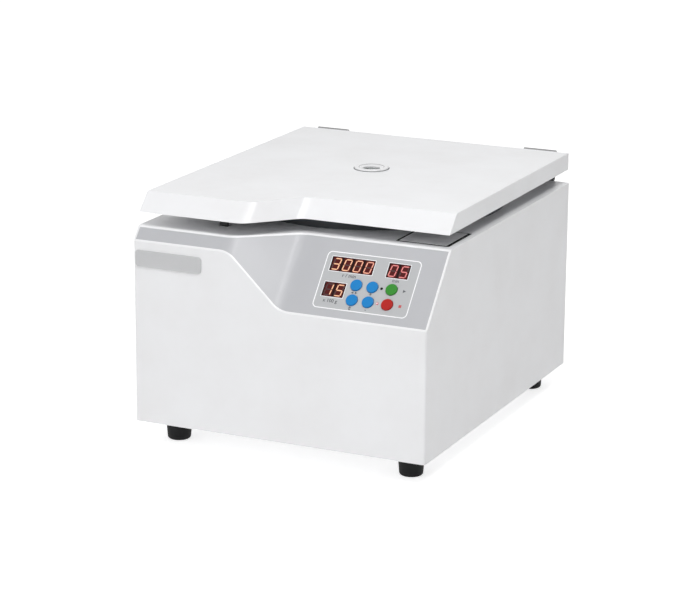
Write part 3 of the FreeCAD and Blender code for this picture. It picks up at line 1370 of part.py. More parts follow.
def power_rocker():
    """Rocker with two flats that meet at its middle, on two pins, tilted to one side."""
    body = new_body("rocker")
    side = new_sketch(body, "YZ_Plane", "rocker_side", "-dims.rocker_width/2")
    half = "dims.rocker_height/2"
    face = "(dims.rocker_depth + dims.rocker_width/16)"
    lip = "(%s + dims.rocker_width/16)" % face
    draw_outline(side, [
        ("-" + half, "-%s*0.5" % half), (face, "-" + half), (lip, "-%s + dims.side_gap" % half),
        (face, "0"),
        (lip, "%s - dims.side_gap" % half), (face, half), ("-" + half, "%s*0.5" % half),
    ])
    pad(body, side, "dims.rocker_width")
    reach = "(dims.rocker_width/2 + dims.side_gap + dims.rocker_pin_radius)"
    pins = new_sketch(body, "YZ_Plane", "rocker_pins", "-" + reach)
    draw_circle(pins, "0", "0", "dims.rocker_pin_radius")
    pad(body, pins, "2*" + reach)
    turn = Rotation(Vector(1, 0, 0), -number("dims.rocker_throw") / 2)
    place = Vector(number(INLET_MIDDLE), number(ROCKER_AXIS), number(ROCKER_LEVEL))
    return keep_turned(body, "power_rocker", Placement(place, turn))


def build_all():
    cabinet_shell()
    control_fascia()
    badge_plate()
    base_tray()
    rubber_feet()
    displays()
    for name, (across, up) in KEYS.items():
        button(name, across, up)
    indicator_lamps()
    control_board()
    chamber_bowl()
    chamber_seal()
    lid_shell()
    lid_liner()
    window_ring()
    window_glass()
    lid_striker()
    latch_housing()
    latch_bolt()
    latch_solenoid()
    body_hinge_leaves()
    lid_hinge_leaves()
    hinge_pins()
    motor_posts()
    vibration_mounts()
    motor_plate()
    motor_housing()
    shaft_boot()
    motor_driver()
    drive_spindle()
    rotor_head()
    rotor_knob()
    for index in range(int(number("dims.stations"))):
        slide_clip(index)
        glass_slide(index)
        sample_funnel(index)
    rear_panel()
    rear_screws()
    power_inlet()
    power_rocker()


def export_all():
    """Check every object and write each sub-part under its own name."""
    doc.recompute()
    for feature in doc.Objects:
        if "Invalid" in feature.State or "Error" in feature.State:
            raise RuntimeError("failed: %s %s" % (feature.Label, feature.State))
    for feature in subparts:
        shape = feature.Shape
        if shape.isNull() or not shape.isValid() or shape.Volume <= 0:
            raise RuntimeError("bad shape: " + feature.Label)
        shape.exportStep("parts/%s.step" % feature.Label)
        print("%-20s solids %2d  volume %10.1f mm3" % (feature.Label, len(shape.Solids), shape.Volume))
    print("sub-parts", len(subparts))


build_all()
export_all()
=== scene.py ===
import math

import bmesh
import bpy
from mathutils import Matrix, Vector


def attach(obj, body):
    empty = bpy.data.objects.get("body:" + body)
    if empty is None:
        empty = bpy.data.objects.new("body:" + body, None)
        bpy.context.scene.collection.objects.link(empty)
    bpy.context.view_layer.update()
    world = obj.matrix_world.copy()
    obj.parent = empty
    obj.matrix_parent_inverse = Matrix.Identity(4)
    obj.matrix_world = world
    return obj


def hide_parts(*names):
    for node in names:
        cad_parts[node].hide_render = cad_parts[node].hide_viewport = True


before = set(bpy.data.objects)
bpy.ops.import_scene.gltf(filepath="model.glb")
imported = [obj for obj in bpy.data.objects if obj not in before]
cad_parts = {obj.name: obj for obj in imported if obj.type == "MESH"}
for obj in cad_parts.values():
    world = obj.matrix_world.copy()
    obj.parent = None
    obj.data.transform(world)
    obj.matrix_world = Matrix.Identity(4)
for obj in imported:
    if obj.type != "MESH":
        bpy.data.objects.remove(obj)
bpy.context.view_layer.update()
bpy.context.scene.view_settings.view_transform = "Standard"


# Studio
# The machine stands on a white table under a broad soft lamp at its front right, with weak light
# from all round. The camera stands a little to its right and looks slightly down.
AZIMUTH, ELEVATION, ROLL = (math.radians(angle) for angle in (24.86, 15.40, 0.42))
CAMERA_DISTANCE = 2.9805
CAMERA_TARGET = Vector((-0.0113, -0.00365, 0.1338))
LENS = 133.71
ROOM_LIGHT = (0.20, 0.81)
ROOM_RIGHT = 0.10
TABLE_WHITE = (0.72, 0.72, 0.72, 1)
TABLE_GLOW = 0.72
TABLE_BOUNCE = 0.26


def add(tree, kind, sockets=(), **settings):
    """A node in a tree. A value given for a socket is set there, and a socket given is linked to it."""
    made = tree.nodes.new(kind)
    for name, value in settings.items():
        setattr(made, name, value)
    for name, value in dict(sockets).items():
        if isinstance(value, bpy.types.NodeSocket):
            tree.links.new(value, made.inputs[name])
        else:
            made.inputs[name].default_value = value
    return made


def look(spot, target, roll=0.0):
    """The place of a camera or lamp at spot that looks at target."""
    back = (spot - target).normalized()
    right = Vector((0, 0, 1)).cross(back).normalized()
    up = back.cross(right)
    tilted = right * math.cos(roll) + up * math.sin(roll)
    turn = Matrix((tilted, back.cross(tilted), back)).transposed()
    return Matrix.Translation(spot) @ turn.to_4x4()


def seen(tree):
    """One for rays from the camera and for those that metal and glass send on, and nothing for the rest."""
    path = add(tree, "ShaderNodeLightPath")
    mirror = add(tree, "ShaderNodeMath", {0: path.outputs["Is Camera Ray"], 1: path.outputs["Is Glossy Ray"]},
                 operation="ADD")
    through = add(tree, "ShaderNodeMath", {0: mirror.outputs[0], 1: path.outputs["Is Transmission Ray"]},
                  operation="ADD", use_clamp=True)
    return through.outputs[0]


camera = bpy.data.objects.new("camera", bpy.data.cameras.new("camera"))
camera.data.lens = LENS
camera.data.sensor_width = 36
camera.data.clip_end = 50
toward = Vector((math.sin(AZIMUTH) * math.cos(ELEVATION), -math.cos(AZIMUTH) * math.cos(ELEVATION),
                 math.sin(ELEVATION)))
camera.matrix_world = look(CAMERA_TARGET + toward * CAMERA_DISTANCE, CAMERA_TARGET, ROLL)
bpy.context.collection.objects.link(camera)
bpy.context.scene.camera = camera

for name, spot, size, power in (("key_lamp", (1.0, -1.0, 2.2), 0.9, 23.4),
                                ("side_lamp", (-1.4, -2.1, 0.9), 1.6, 10.0),
                                ("fill_lamp", (0.55, -1.18, 2.45), 1.1, 11.5)):
    lamp = bpy.data.objects.new(name, bpy.data.lights.new(name, "AREA"))
    lamp.data.shape = "DISK"
    lamp.data.size = size
    lamp.data.energy = power
    lamp.matrix_world = look(Vector(spot), Vector((0, 0, 0.15)))
    bpy.context.collection.objects.link(lamp)

world = bpy.data.worlds.new("room")
world.use_nodes = True
bpy.context.scene.world = world
tree = world.node_tree
tree.nodes.clear()
way = add(tree, "ShaderNodeSeparateXYZ", {0: add(tree, "ShaderNodeTexCoord").outputs["Generated"]}).outputs
height = add(tree, "ShaderNodeMapRange", {"Value": way[2], "To Min": ROOM_LIGHT[0], "To Max": ROOM_LIGHT[1]})
turned_off = add(tree, "ShaderNodeMapRange", {"Value": way[0], "From Min": 0.0, "From Max": 0.7, "To Min": 1.0,
                                              "To Max": ROOM_RIGHT})
power = add(tree, "ShaderNodeMath", {0: height.outputs[0], 1: turned_off.outputs[0]}, operation="MULTIPLY")
dim = add(tree, "ShaderNodeBackground", {"Color": (1, 1, 1, 1), "Strength": power.outputs[0]})
white = add(tree, "ShaderNodeBackground", {"Color": (1, 1, 1, 1), "Strength": 1.0})
mixed = add(tree, "ShaderNodeMixShader", {0: seen(tree), 1: dim.outputs[0], 2: white.outputs[0]})
add(tree, "ShaderNodeOutputWorld", {"Surface": mixed.outputs[0]})

table_paint = bpy.data.materials.new("table_white")
table_paint.use_nodes = True
tree = table_paint.node_tree
tree.nodes.clear()
board = add(tree, "ShaderNodeBsdfDiffuse", {"Color": TABLE_WHITE})
lift = add(tree, "ShaderNodeMath", {0: seen(tree), 1: TABLE_GLOW - TABLE_BOUNCE, 2: TABLE_BOUNCE},
           operation="MULTIPLY_ADD")
glow = add(tree, "ShaderNodeEmission", {"Color": (1, 1, 1, 1), "Strength": lift.outputs[0]})
both = add(tree, "ShaderNodeAddShader", {0: board.outputs[0], 1: glow.outputs[0]})
add(tree, "ShaderNodeOutputMaterial", {"Surface": both.outputs[0]})
bpy.ops.mesh.primitive_plane_add(size=12, location=(0, 0, 0))
table = bpy.context.object
table.name = "table"
table.data.materials.append(table_paint)


# Cabinet
# Sheet steel, cut, folded and welded, then powder coated a cool white: satin, with the faint orange peel
# of the powder. Its folds and corners are rounded and catch the light, with a painted highlight on them.
SKIN_WHITE = (0.83, 0.835, 0.85, 1)
SKIN_SHADE = (0.80, 0.80, 0.81, 1)
PEEL = 0.0011
PEEL_DEPTH = 0.000012
FOLD = 0.0009


def new_group(name, sockets):
    """An empty node group for shaders. Sockets are (name, direction, kind, default)."""
    group = bpy.data.node_groups.new(name, "ShaderNodeTree")
    for label, direction, kind, default in sockets:
        socket = group.interface.new_socket(label, in_out=direction, socket_type="NodeSocket" + kind)
        if default is not None:
            socket.default_value = default
    return group, add(group, "NodeGroupInput").outputs, add(group, "NodeGroupOutput")


# Grain: the fine texture of a coated, cast or moulded skin, with a slow change of colour and gloss.
grain, given, out = new_group("grain", [
    ("Colour", "INPUT", "Color", (0.8, 0.8, 0.8, 1)), ("Shade", "INPUT", "Color", (0.7, 0.7, 0.7, 1)),
    ("Size", "INPUT", "Float", 0.001), ("Depth", "INPUT", "Float", 0.00001),
    ("Roughness", "INPUT", "Float", 0.4), ("Spread", "INPUT", "Float", 0.05),
    ("Colour", "OUTPUT", "Color", None), ("Roughness", "OUTPUT", "Float", None),
    ("Normal", "OUTPUT", "Vector", None)])
where = add(grain, "ShaderNodeTexCoord").outputs["Object"]
pitch = add(grain, "ShaderNodeMath", {0: 1.0, 1: given["Size"]}, operation="DIVIDE").outputs[0]
fine = add(grain, "ShaderNodeTexNoise", {"Vector": where, "Scale": pitch, "Detail": 2.0, "Roughness": 0.55})
slow = add(grain, "ShaderNodeTexNoise", {"Vector": where, "Scale": 14.0, "Detail": 4.0, "Roughness": 0.6})
patch = add(grain, "ShaderNodeMapRange", {"Value": slow.outputs[0], "From Min": 0.35, "From Max": 0.7})
speck = add(grain, "ShaderNodeMapRange", {"Value": fine.outputs[0], "From Min": 0.45, "From Max": 0.75,
                                          "To Max": 0.35})
share = add(grain, "ShaderNodeMath", {0: patch.outputs[0], 1: speck.outputs[0]}, operation="MAXIMUM")
tone = add(grain, "ShaderNodeMix", {0: share.outputs[0], 6: given["Colour"], 7: given["Shade"]}, data_type="RGBA")
swing = add(grain, "ShaderNodeMapRange", {"Value": slow.outputs[0], "From Min": 0.3, "From Max": 0.7,
                                          "To Min": -0.5, "To Max": 0.5})
gloss = add(grain, "ShaderNodeMath", {0: swing.outputs[0], 1: given["Spread"], 2: given["Roughness"]},
            operation="MULTIPLY_ADD")
relief = add(grain, "ShaderNodeBump", {"Strength": 1.0, "Distance": given["Depth"], "Height": fine.outputs[0]})
for label, made in (("Colour", tone.outputs[2]), ("Roughness", gloss.outputs[0]), ("Normal", relief.outputs[0])):
    grain.links.new(made, out.inputs[label])

# Edge highlight: a mask of the outer edges, where a lighter colour is painted in as a highlight, standing in for the
# light that rounded edges catch.
edge_highlight, given, out = new_group("painted_edge_highlight", [("Reach", "INPUT", "Float", 0.001), ("Mask", "OUTPUT", "Float", None)])
eased_normal = add(edge_highlight, "ShaderNodeBevel", {"Radius": given["Reach"]}, samples=4)
true_normal = add(edge_highlight, "ShaderNodeNewGeometry").outputs["Normal"]
same = add(edge_highlight, "ShaderNodeVectorMath", {0: eased_normal.outputs[0], 1: true_normal}, operation="DOT_PRODUCT")
edge = add(edge_highlight, "ShaderNodeMapRange", {"Value": same.outputs["Value"], "From Min": 0.99, "From Max": 0.80})
edge_highlight.links.new(edge.outputs[0], out.inputs["Mask"])


def finish(name, colour, shade, size, depth, roughness, spread=0.06, highlight_colour=None, highlight_reach=0.0008,
           **shader):
    """A material: grain on the Principled shader, a painted highlight of lighter colour on its edges where given, and
    its constant sockets by name.
    """
    made = bpy.data.materials.new(name)
    made.use_nodes = True
    tree = made.node_tree
    skin = tree.nodes["Principled BSDF"]
    texture = add(tree, "ShaderNodeGroup", node_tree=grain)
    for label, value in (("Colour", colour), ("Shade", shade), ("Size", size), ("Depth", depth),
                         ("Roughness", roughness), ("Spread", spread)):
        texture.inputs[label].default_value = value
    tint = texture.outputs["Colour"]
    # Where a highlight colour is given, the outer edges are painted lighter with it as a highlight.
    if highlight_colour:
        rim = add(tree, "ShaderNodeGroup", node_tree=edge_highlight)
        rim.inputs["Reach"].default_value = highlight_reach
        tint = add(tree, "ShaderNodeMix", {0: rim.outputs[0], 6: tint, 7: highlight_colour}, data_type="RGBA").outputs[2]
    tree.links.new(tint, skin.inputs["Base Color"])
    tree.links.new(texture.outputs["Roughness"], skin.inputs["Roughness"])
    tree.links.new(texture.outputs["Normal"], skin.inputs["Normal"])
    for socket, value in shader.items():
        skin.inputs[socket.replace("_", " ")].default_value = value
    return made


def dress(material, *names):
    """Give CAD nodes their material."""
    for name in names:
        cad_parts[name].data.materials.clear()
        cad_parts[name].data.materials.append(material)


def shown(name, mesh, material, body, slot, *stands_for):
    """A finished piece at the world's origin: its material, its body and the nodes it stands for; the slot is not
    used.
    """
    piece = bpy.data.objects.new(name, mesh)
    bpy.context.collection.objects.link(piece)
    mesh.materials.clear()
    mesh.materials.append(material)
    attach(piece, body)
    if stands_for:
        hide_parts(*stands_for)
    return piece


def settled(mesh, modifiers=()):
    """The mesh after its modifiers, given as (kind, settings)."""
    holder = bpy.data.objects.new("holder", mesh)
    bpy.context.collection.objects.link(holder)
    for kind, settings in modifiers:
        modifier = holder.modifiers.new(kind, kind)
        for name, value in settings.items():
            setattr(modifier, name, value)
    graph = bpy.context.evaluated_depsgraph_get()
    result = bpy.data.meshes.new_from_object(holder.evaluated_get(graph), preserve_all_data_layers=True,
                                             depsgraph=graph)
    bpy.data.objects.remove(holder)
    return result


def merged(name):
    """A copy of a CAD node's mesh with its triangles joined and its flat faces made whole."""
    form = bmesh.new()
    form.from_mesh(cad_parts[name].data)
    bmesh.ops.remove_doubles(form, verts=form.verts, dist=2e-6)
    bmesh.ops.dissolve_limit(form, angle_limit=math.radians(0.8), verts=form.verts, edges=form.edges)
    for face in form.faces:
        face.smooth = True
    mesh = bpy.data.meshes.new(name + "_merged")
    form.to_mesh(mesh)
    form.free()
    return mesh


def evened(mesh, angle):
    """The mesh, smooth across edges up to an angle, where its large faces lead and so stay flat."""
    limit = math.cos(math.radians(angle))
    faces = [(face.normal.copy(), face.area) for face in mesh.polygons]
    meeting = [[] for vertex in mesh.vertices]
    for face in mesh.polygons:
        face.use_smooth = True
        for corner in face.vertices:
            meeting[corner].append(faces[face.index])
    normals = []
    for face in mesh.polygons:
        for corner in face.vertices:
            near = [normal * area for normal, area in meeting[corner] if normal.dot(face.normal) >= limit]
            normals.append(sum(near, Vector()).normalized() or face.normal.copy())
    mesh.normals_split_custom_set(normals)
    return mesh


def eased(name, width, angle=28, segments=3):
    """A copy of a CAD node whose sharp edges are rounded."""
    return evened(settled(merged(name), [("BEVEL", {
        "width": width, "segments": segments, "limit_method": "ANGLE", "angle_limit": math.radians(angle),
        "miter_outer": "MITER_ARC", "use_clamp_overlap": True})]), 50)


# The lighter white on its edges is a painted highlight.
white_paint = finish("white_powder_coat", SKIN_WHITE, SKIN_SHADE, PEEL, PEEL_DEPTH, 0.34, 0.08,
                     (0.90, 0.90, 0.91, 1))
shown("cabinet_skin", eased("cabinet_shell", FOLD), white_paint, "chassis", "white_paint", "cabinet_shell")


# Floor tray and feet
# The tray is coated steel, screwed in from below. Each foot is moulded black rubber with a dull skin,
# held by a screw that sits in its hollow.
# The lighter edge colours of the tray and the feet are painted highlights.
tray_coat = finish("tray_coat", (0.62, 0.625, 0.64, 1), (0.56, 0.565, 0.58, 1), PEEL, PEEL_DEPTH, 0.45, 0.1,
                   (0.7, 0.7, 0.71, 1))
foot_rubber = finish("foot_rubber", (0.005, 0.0055, 0.006, 1), (0.010, 0.0105, 0.011, 1), 0.0006, 0.00002, 0.6,
                     0.15, (0.03, 0.03, 0.03, 1), 0.0012, Specular_IOR_Level=0.2)
dress(tray_coat, "base_tray")


def rounded_copy(name, angle=35):
    """A copy of a CAD node with its triangles joined, smooth across its round faces only."""
    return evened(merged(name), angle)


shown("feet_rubber", rounded_copy("rubber_feet"), foot_rubber, "chassis", "black_rubber", "rubber_feet")

# Screws
# Plated pan heads with a cross recess. One tree sets a head on each point, turned to its face.
PLATED = (0.66, 0.66, 0.65, 1)


def input_of(tree, label, kind, default=None):
    """A named input of a geometry tree."""
    socket = tree.interface.new_socket(label, in_out="INPUT", socket_type="NodeSocket" + kind)
    if default is not None:
        socket.default_value = default
    return socket.identifier


screws = bpy.data.node_groups.new("screw_heads", "GeometryNodeTree")
SCREW_INPUTS = {label: input_of(screws, label, kind, default) for label, kind, default in (
    ("Points", "Geometry", None), ("Radius", "Float", 0.003), ("Height", "Float", 0.002),
    ("Slot", "Float", 0.0008), ("Facing", "Rotation", None), ("Finish", "Material", None))}
screws.interface.new_socket("Heads", in_out="OUTPUT", socket_type="NodeSocketGeometry")
given = add(screws, "NodeGroupInput").outputs
crown = add(screws, "ShaderNodeMath", {0: given["Radius"], 1: 0.7}, operation="MULTIPLY").outputs[0]
head = add(screws, "GeometryNodeMeshCone", {"Vertices": 28, "Side Segments": 2, "Radius Top": crown,
                                            "Radius Bottom": given["Radius"], "Depth": given["Height"]})
span = add(screws, "ShaderNodeMath", {0: given["Radius"], 1: 1.15}, operation="MULTIPLY").outputs[0]
cuts = []
for label, sockets in (("along", {"X": span, "Y": given["Slot"]}), ("across", {"X": given["Slot"], "Y": span})):
    across = add(screws, "ShaderNodeCombineXYZ", {**sockets, "Z": given["Height"]}).outputs[0]
    bar = add(screws, "GeometryNodeMeshCube", {"Size": across}).outputs[0]
    lift = add(screws, "ShaderNodeCombineXYZ", {"Z": given["Height"]}).outputs[0]
    cuts.append(add(screws, "GeometryNodeTransform", {"Geometry": bar, "Translation": lift}).outputs[0])
recess = add(screws, "GeometryNodeMeshBoolean", {"Mesh 1": head.outputs[0]}, operation="DIFFERENCE")
for bar in cuts:
    screws.links.new(bar, recess.inputs["Mesh 2"])
placed = add(screws, "GeometryNodeInstanceOnPoints", {"Points": given["Points"], "Instance": recess.outputs[0],
                                                      "Rotation": given["Facing"]})
real = add(screws, "GeometryNodeRealizeInstances", {"Geometry": placed.outputs[0]})
coated = add(screws, "GeometryNodeSetMaterial", {"Geometry": real.outputs[0], "Material": given["Finish"]})
add(screws, "NodeGroupOutput", {"Heads": coated.outputs[0]})

plated_steel = finish("plated_steel", PLATED, (0.55, 0.55, 0.53, 1), 0.0009, 0.000004, 0.24, 0.08, Metallic=1.0)


def screw_heads(name, points, facing, radius, height, slot, body, *stands_for):
    """Screw heads on points, in metres, that face the way that the Euler angles in degrees turn them."""
    mesh = bpy.data.meshes.new(name)
    mesh.from_pydata(points, [], [])
    holder = bpy.data.objects.new(name + "_points", mesh)
    bpy.context.collection.objects.link(holder)
    modifier = holder.modifiers.new("heads", "NODES")
    modifier.node_group = screws
    for label, value in (("Radius", radius), ("Height", height), ("Slot", slot), ("Finish", plated_steel),
                         ("Facing", [math.radians(angle) for angle in facing])):
        modifier[SCREW_INPUTS[label]] = value
    graph = bpy.context.evaluated_depsgraph_get()
    result = bpy.data.meshes.new_from_object(holder.evaluated_get(graph))
    bpy.data.objects.remove(holder)
    return shown(name, result, plated_steel, body, "plated_steel", *stands_for)


# The foot screws sit in the hollows of the feet and face down.
screw_heads("foot_screws", [(x, y, 0.0076) for x in (-0.142, 0.142) for y in (-0.1743, 0.1797)],
            (180, 0, 0), 0.003, 0.0012, 0.0008, "chassis")


# Front panel
# A grey plate of coated steel let into the slanted front, flush with the white rim that is left round it.
# The lighter grey on its edges is a painted highlight.
fascia_grey = finish("fascia_grey", (0.473, 0.478, 0.499, 1), (0.453, 0.458, 0.479, 1), 0.0007, 0.000006, 0.38, 0.06,
                     (0.62, 0.625, 0.64, 1), 0.0006)
shown("fascia_skin", eased("control_fascia", 0.0003, 25, 2), fascia_grey, "chassis", "grey_paint", "control_fascia")

# Places on the panel are millimetres: across from the machine's middle, up the slope from the lower
# edge of its right-hand part, and out from its face.
PANEL = Matrix.Translation((0, -0.2143, 0.1736)) @ Matrix.Rotation(math.radians(50), 4, "X")
MM = Matrix.Scale(0.001, 4)


def rounded(left, low, right, high, radius, steps=6):
    """The points of a rectangle with round corners, anticlockwise."""
    points = []
    for i, (x, y) in enumerate(((right - radius, low + radius), (right - radius, high - radius),
                                (left + radius, high - radius), (left + radius, low + radius))):
        for step in range(steps + 1):
            angle = math.pi / 2 * (i - 1 + step / steps)
            points.append((x + radius * math.cos(angle), y + radius * math.sin(angle)))
    return points


def circle(x, y, radius, count=48):
    return [(x + radius * math.cos(math.tau * i / count), y + radius * math.sin(math.tau * i / count))
            for i in range(count)]


def closed(mesh, place, smooth=False):
    """Join what touches, turn the faces outwards and put the mesh, made in millimetres, in its place."""
    form = bmesh.new()
    form.from_mesh(mesh)
    bmesh.ops.remove_doubles(form, verts=form.verts, dist=0.0005)
    bmesh.ops.recalc_face_normals(form, faces=form.faces)
    for face in form.faces:
        face.smooth = smooth
    form.to_mesh(mesh)
    form.free()
    mesh.transform(place @ MM)
    return mesh


def drawn(curve, place):
    """The mesh of a flat curve or a text."""
    holder = bpy.data.objects.new("drawn", curve)
    bpy.context.collection.objects.link(holder)
    graph = bpy.context.evaluated_depsgraph_get()
    mesh = bpy.data.meshes.new_from_object(holder.evaluated_get(graph))
    bpy.data.objects.remove(holder)
    return closed(mesh, place)


def plate(loops, low, high, place, edge=0.0):
    """A sheet between two heights, cut to loops: outlines and the holes in them."""
    curve = bpy.data.curves.new("plate", "CURVE")
    curve.dimensions = "2D"
    curve.fill_mode = "BOTH"
    curve.extrude = (high - low) / 2 - edge
    curve.bevel_depth = edge
    curve.bevel_resolution = 1
    curve.offset = -edge
    for loop in loops:
        spline = curve.splines.new("POLY")
        spline.points.add(len(loop) - 1)
        for point, (x, y) in zip(spline.points, loop):
            point.co = (x, y, 0, 1)
        spline.use_cyclic_u = True
    return drawn(curve, place @ Matrix.Translation((0, 0, (low + high) / 2000)))


# Printed film
# A pale film glued on the plate, cut out for the displays, keys and lamps, with a printed white border line
# and a thin white frame round each display, which is painted highlight for the light caught by the windows' cut
# edges.
SPEED, TIME, FORCE = (44.4, 56.5, 94.7, 73.5), (110.9, 56.5, 135.9, 73.5), (44.4, 26.1, 69.4, 43.1)
KEYS = {"shift": (81, 42.7), "mode": (81, 25), "plus": (99.7, 42.7), "minus": (99.7, 25), "start": (122, 42.7),
        "stop": (122, 25)}
LAMP_OFF, LAMP_ON = (110.4, 42.7), (110.4, 25)
FILM = (38.0, 12.3, 147.0, 78.9)
film_grey = finish("panel_film", (0.465, 0.475, 0.487, 1), (0.445, 0.452, 0.465, 1), 0.0005, 0.000003, 0.33, 0.05)
film_white = finish("panel_white", (0.93, 0.93, 0.94, 1), (0.90, 0.90, 0.92, 1), 0.0005, 0.000003, 0.33, 0.05)


def grown(box, by):
    return box[0] - by, box[1] - by, box[2] + by, box[3] + by


windows = [rounded(*grown(box, 0.12), 0.3, 2) for box in (SPEED, TIME, FORCE)]
holes = windows + [circle(*spot, 6.9) for spot in KEYS.values()] + [circle(*spot, 1.65, 24)
                                                                    for spot in (LAMP_OFF, LAMP_ON)]
shown("panel_film", plate([rounded(*grown(FILM, -0.5), 4.6)] + holes, 0.0, 0.14, PANEL), film_grey, "chassis",
      "grey_paint")
border = [rounded(*grown(FILM, 0.55), 5.6, 10), rounded(*grown(FILM, -0.55), 4.5, 10)]
# The thin white frames round the displays are painted highlight.
for box in (SPEED, TIME, FORCE):
    border += [rounded(*grown(box, 0.75), 0.8, 3), rounded(*grown(box, 0.12), 0.3, 2)]
shown("panel_lines", plate(border, 0.0, 0.2, PANEL), film_white, "chassis", "badge_white")


# Displays
# Red seven-segment modules behind the plate: black faces that glow round each lit digit. Their bars
# are cast flush, pale where they are lit and a dull grey where they aren't.
SEGMENTS = {"0": "abcdef", "1": "bc", "3": "abcdg", "5": "acdfg"}
DIGIT_WIDE, DIGIT_HIGH, BAR, BAR_GAP, SLANT = 8.2, 14.0, 1.2, 0.2, math.tan(math.radians(8))
DISPLAY_FACE = -0.5


def bar_loops(middle, level, lit):
    """The lit or unlit bars of one digit as outlines."""
    half, top, thick = (DIGIT_WIDE - BAR) / 2, (DIGIT_HIGH - BAR) / 2, BAR / 2
    flat = {"a": top, "g": 0.0, "d": -top}
    upright = {"b": (half, 0), "c": (half, -top), "f": (-half, 0), "e": (-half, -top)}
    loops = []
    for key in lit:
        if key in flat:
            y, end = flat[key], half - BAR_GAP
            points = [(-end, y), (-end + thick, y - thick), (end - thick, y - thick), (end, y),
                      (end - thick, y + thick), (-end + thick, y + thick)]
        else:
            x, low = upright[key]
            low, high = low + BAR_GAP, low + top - BAR_GAP
            points = [(x, low), (x + thick, low + thick), (x + thick, high - thick), (x, high),
                      (x - thick, high - thick), (x - thick, low + thick)]
        loops.append([(middle + x + y * SLANT, level + y) for x, y in points])
    return loops


def face_of_display(name, start, pitch):
    """Black epoxy with a dull red glow in each digit's cell."""
    made = finish(name, (0.003, 0.002, 0.002, 1), (0.006, 0.003, 0.003, 1), 0.0004, 0.000002, 0.4, 0.05,
                  Emission_Strength=1.0, Specular_IOR_Level=0.12)
    tree = made.node_tree
    across = add(tree, "ShaderNodeSeparateXYZ", {0: add(tree, "ShaderNodeTexCoord").outputs["Object"]}).outputs[0]
    cells = add(tree, "ShaderNodeMapRange", {"Value": across, "From Min": start, "From Max": start + pitch},
                clamp=False).outputs[0]
    place = add(tree, "ShaderNodeMath", {0: cells}, operation="FRACT").outputs[0]
    swing = add(tree, "ShaderNodeMath", {0: place, 1: 0.5}, operation="SUBTRACT").outputs[0]
    off = add(tree, "ShaderNodeMath", {0: swing}, operation="ABSOLUTE").outputs[0]
    share = add(tree, "ShaderNodeMapRange", {"Value": off, "From Min": 0.47, "From Max": 0.36}).outputs[0]
    glow = add(tree, "ShaderNodeMix", {0: share, 6: (0.0, 0.0, 0.0, 1), 7: (0.085, 0.006, 0.006, 1)},
               data_type="RGBA").outputs[2]
    tree.links.new(glow, tree.nodes["Principled BSDF"].inputs["Emission Color"])
    return made


led_light = finish("led_light", (0.1, 0.03, 0.02, 1), (0.08, 0.02, 0.01, 1), 0.0004, 0.000002, 0.4, 0.05,
                   Emission_Strength=1.0, Specular_IOR_Level=0.15)
tree = led_light.node_tree
across = add(tree, "ShaderNodeSeparateXYZ", {0: add(tree, "ShaderNodeTexCoord").outputs["Object"]}).outputs[0]
along = add(tree, "ShaderNodeMapRange", {"Value": across, "From Min": 0.060, "From Max": 0.118}).outputs[0]
light = add(tree, "ShaderNodeMix", {0: along, 6: (1.0, 0.58, 0.34, 1), 7: (0.80, 0.25, 0.25, 1)}, data_type="RGBA")
tree.links.new(light.outputs[2], tree.nodes["Principled BSDF"].inputs["Emission Color"])
led_dark = finish("led_dark", (0.085, 0.055, 0.055, 1), (0.07, 0.045, 0.045, 1), 0.0004, 0.000002, 0.45, 0.05,
                  Specular_IOR_Level=0.15)

for name, box, text in (("display_speed", SPEED, "3000"), ("display_time", TIME, "05"),
                        ("display_force", FORCE, "15")):
    pitch = (box[2] - box[0]) / len(text)
    level = (box[1] + box[3]) / 2
    middles = [box[0] + pitch * (i + 0.5) for i in range(len(text))]
    lit, dark = [], []
    for middle, digit in zip(middles, text):
        lit += bar_loops(middle, level, SEGMENTS[digit])
        dark += bar_loops(middle, level, [key for key in "abcdefg" if key not in SEGMENTS[digit]])
    dress(face_of_display(name + "_face", box[0] / 1000, pitch / 1000), name)
    shown(name + "_lit", plate(lit, DISPLAY_FACE - 0.1, DISPLAY_FACE + 0.12, PANEL), led_light, "chassis",
          "display_red")
    shown(name + "_unlit", plate(dark, DISPLAY_FACE - 0.1, DISPLAY_FACE + 0.06, PANEL), led_dark, "chassis",
          "display_red")


# Keys
# Round caps of gloss plastic with a soft dome, each in its own hole of the panel and pressed on its own.
KEY_BLUE = ((0.008, 0.208, 0.54, 1), (0.006, 0.185, 0.50, 1))
KEY_GREEN = ((0.034, 0.255, 0.026, 1), (0.030, 0.225, 0.022, 1))
KEY_RED = ((0.44, 0.012, 0.008, 1), (0.39, 0.010, 0.007, 1))
for name in KEYS:
    pair = {"start": KEY_GREEN, "stop": KEY_RED}.get(name, KEY_BLUE)
    slot = {"start": "key_green", "stop": "key_red"}.get(name, "key_blue")
    cap = finish(name + "_cap", pair[0], pair[1], 0.0004, 0.000003, 0.38, 0.06, Specular_IOR_Level=0.25)
    shown(name + "_cap", rounded_copy(name + "_button"), cap, name + "_key", slot, name + "_button")


# Lamps
# Two small lens caps between the keys: the upper one dark, the lower one lit, white in its middle.
def turned(profile, place, count=40):
    """A turned piece from its half section: (radius, height) in millimetres, from axis to axis."""
    form = bmesh.new()
    rings = []
    for radius, height in profile:
        corners = count if radius else 1
        rings.append([form.verts.new((radius * math.cos(math.tau * i / count),
                                      radius * math.sin(math.tau * i / count), height)) for i in range(corners)])
    for low, high in zip(rings, rings[1:]):
        for i in range(count):
            j = (i + 1) % count
            loop = [low[i % len(low)], low[j % len(low)], high[j % len(high)], high[i % len(high)]]
            form.faces.new([corner for k, corner in enumerate(loop) if corner not in loop[:k]])
    mesh = bpy.data.meshes.new("turned")
    form.to_mesh(mesh)
    form.free()
    mesh = closed(mesh, place, smooth=True)
    mesh.set_sharp_from_angle(angle=math.radians(40))
    return mesh


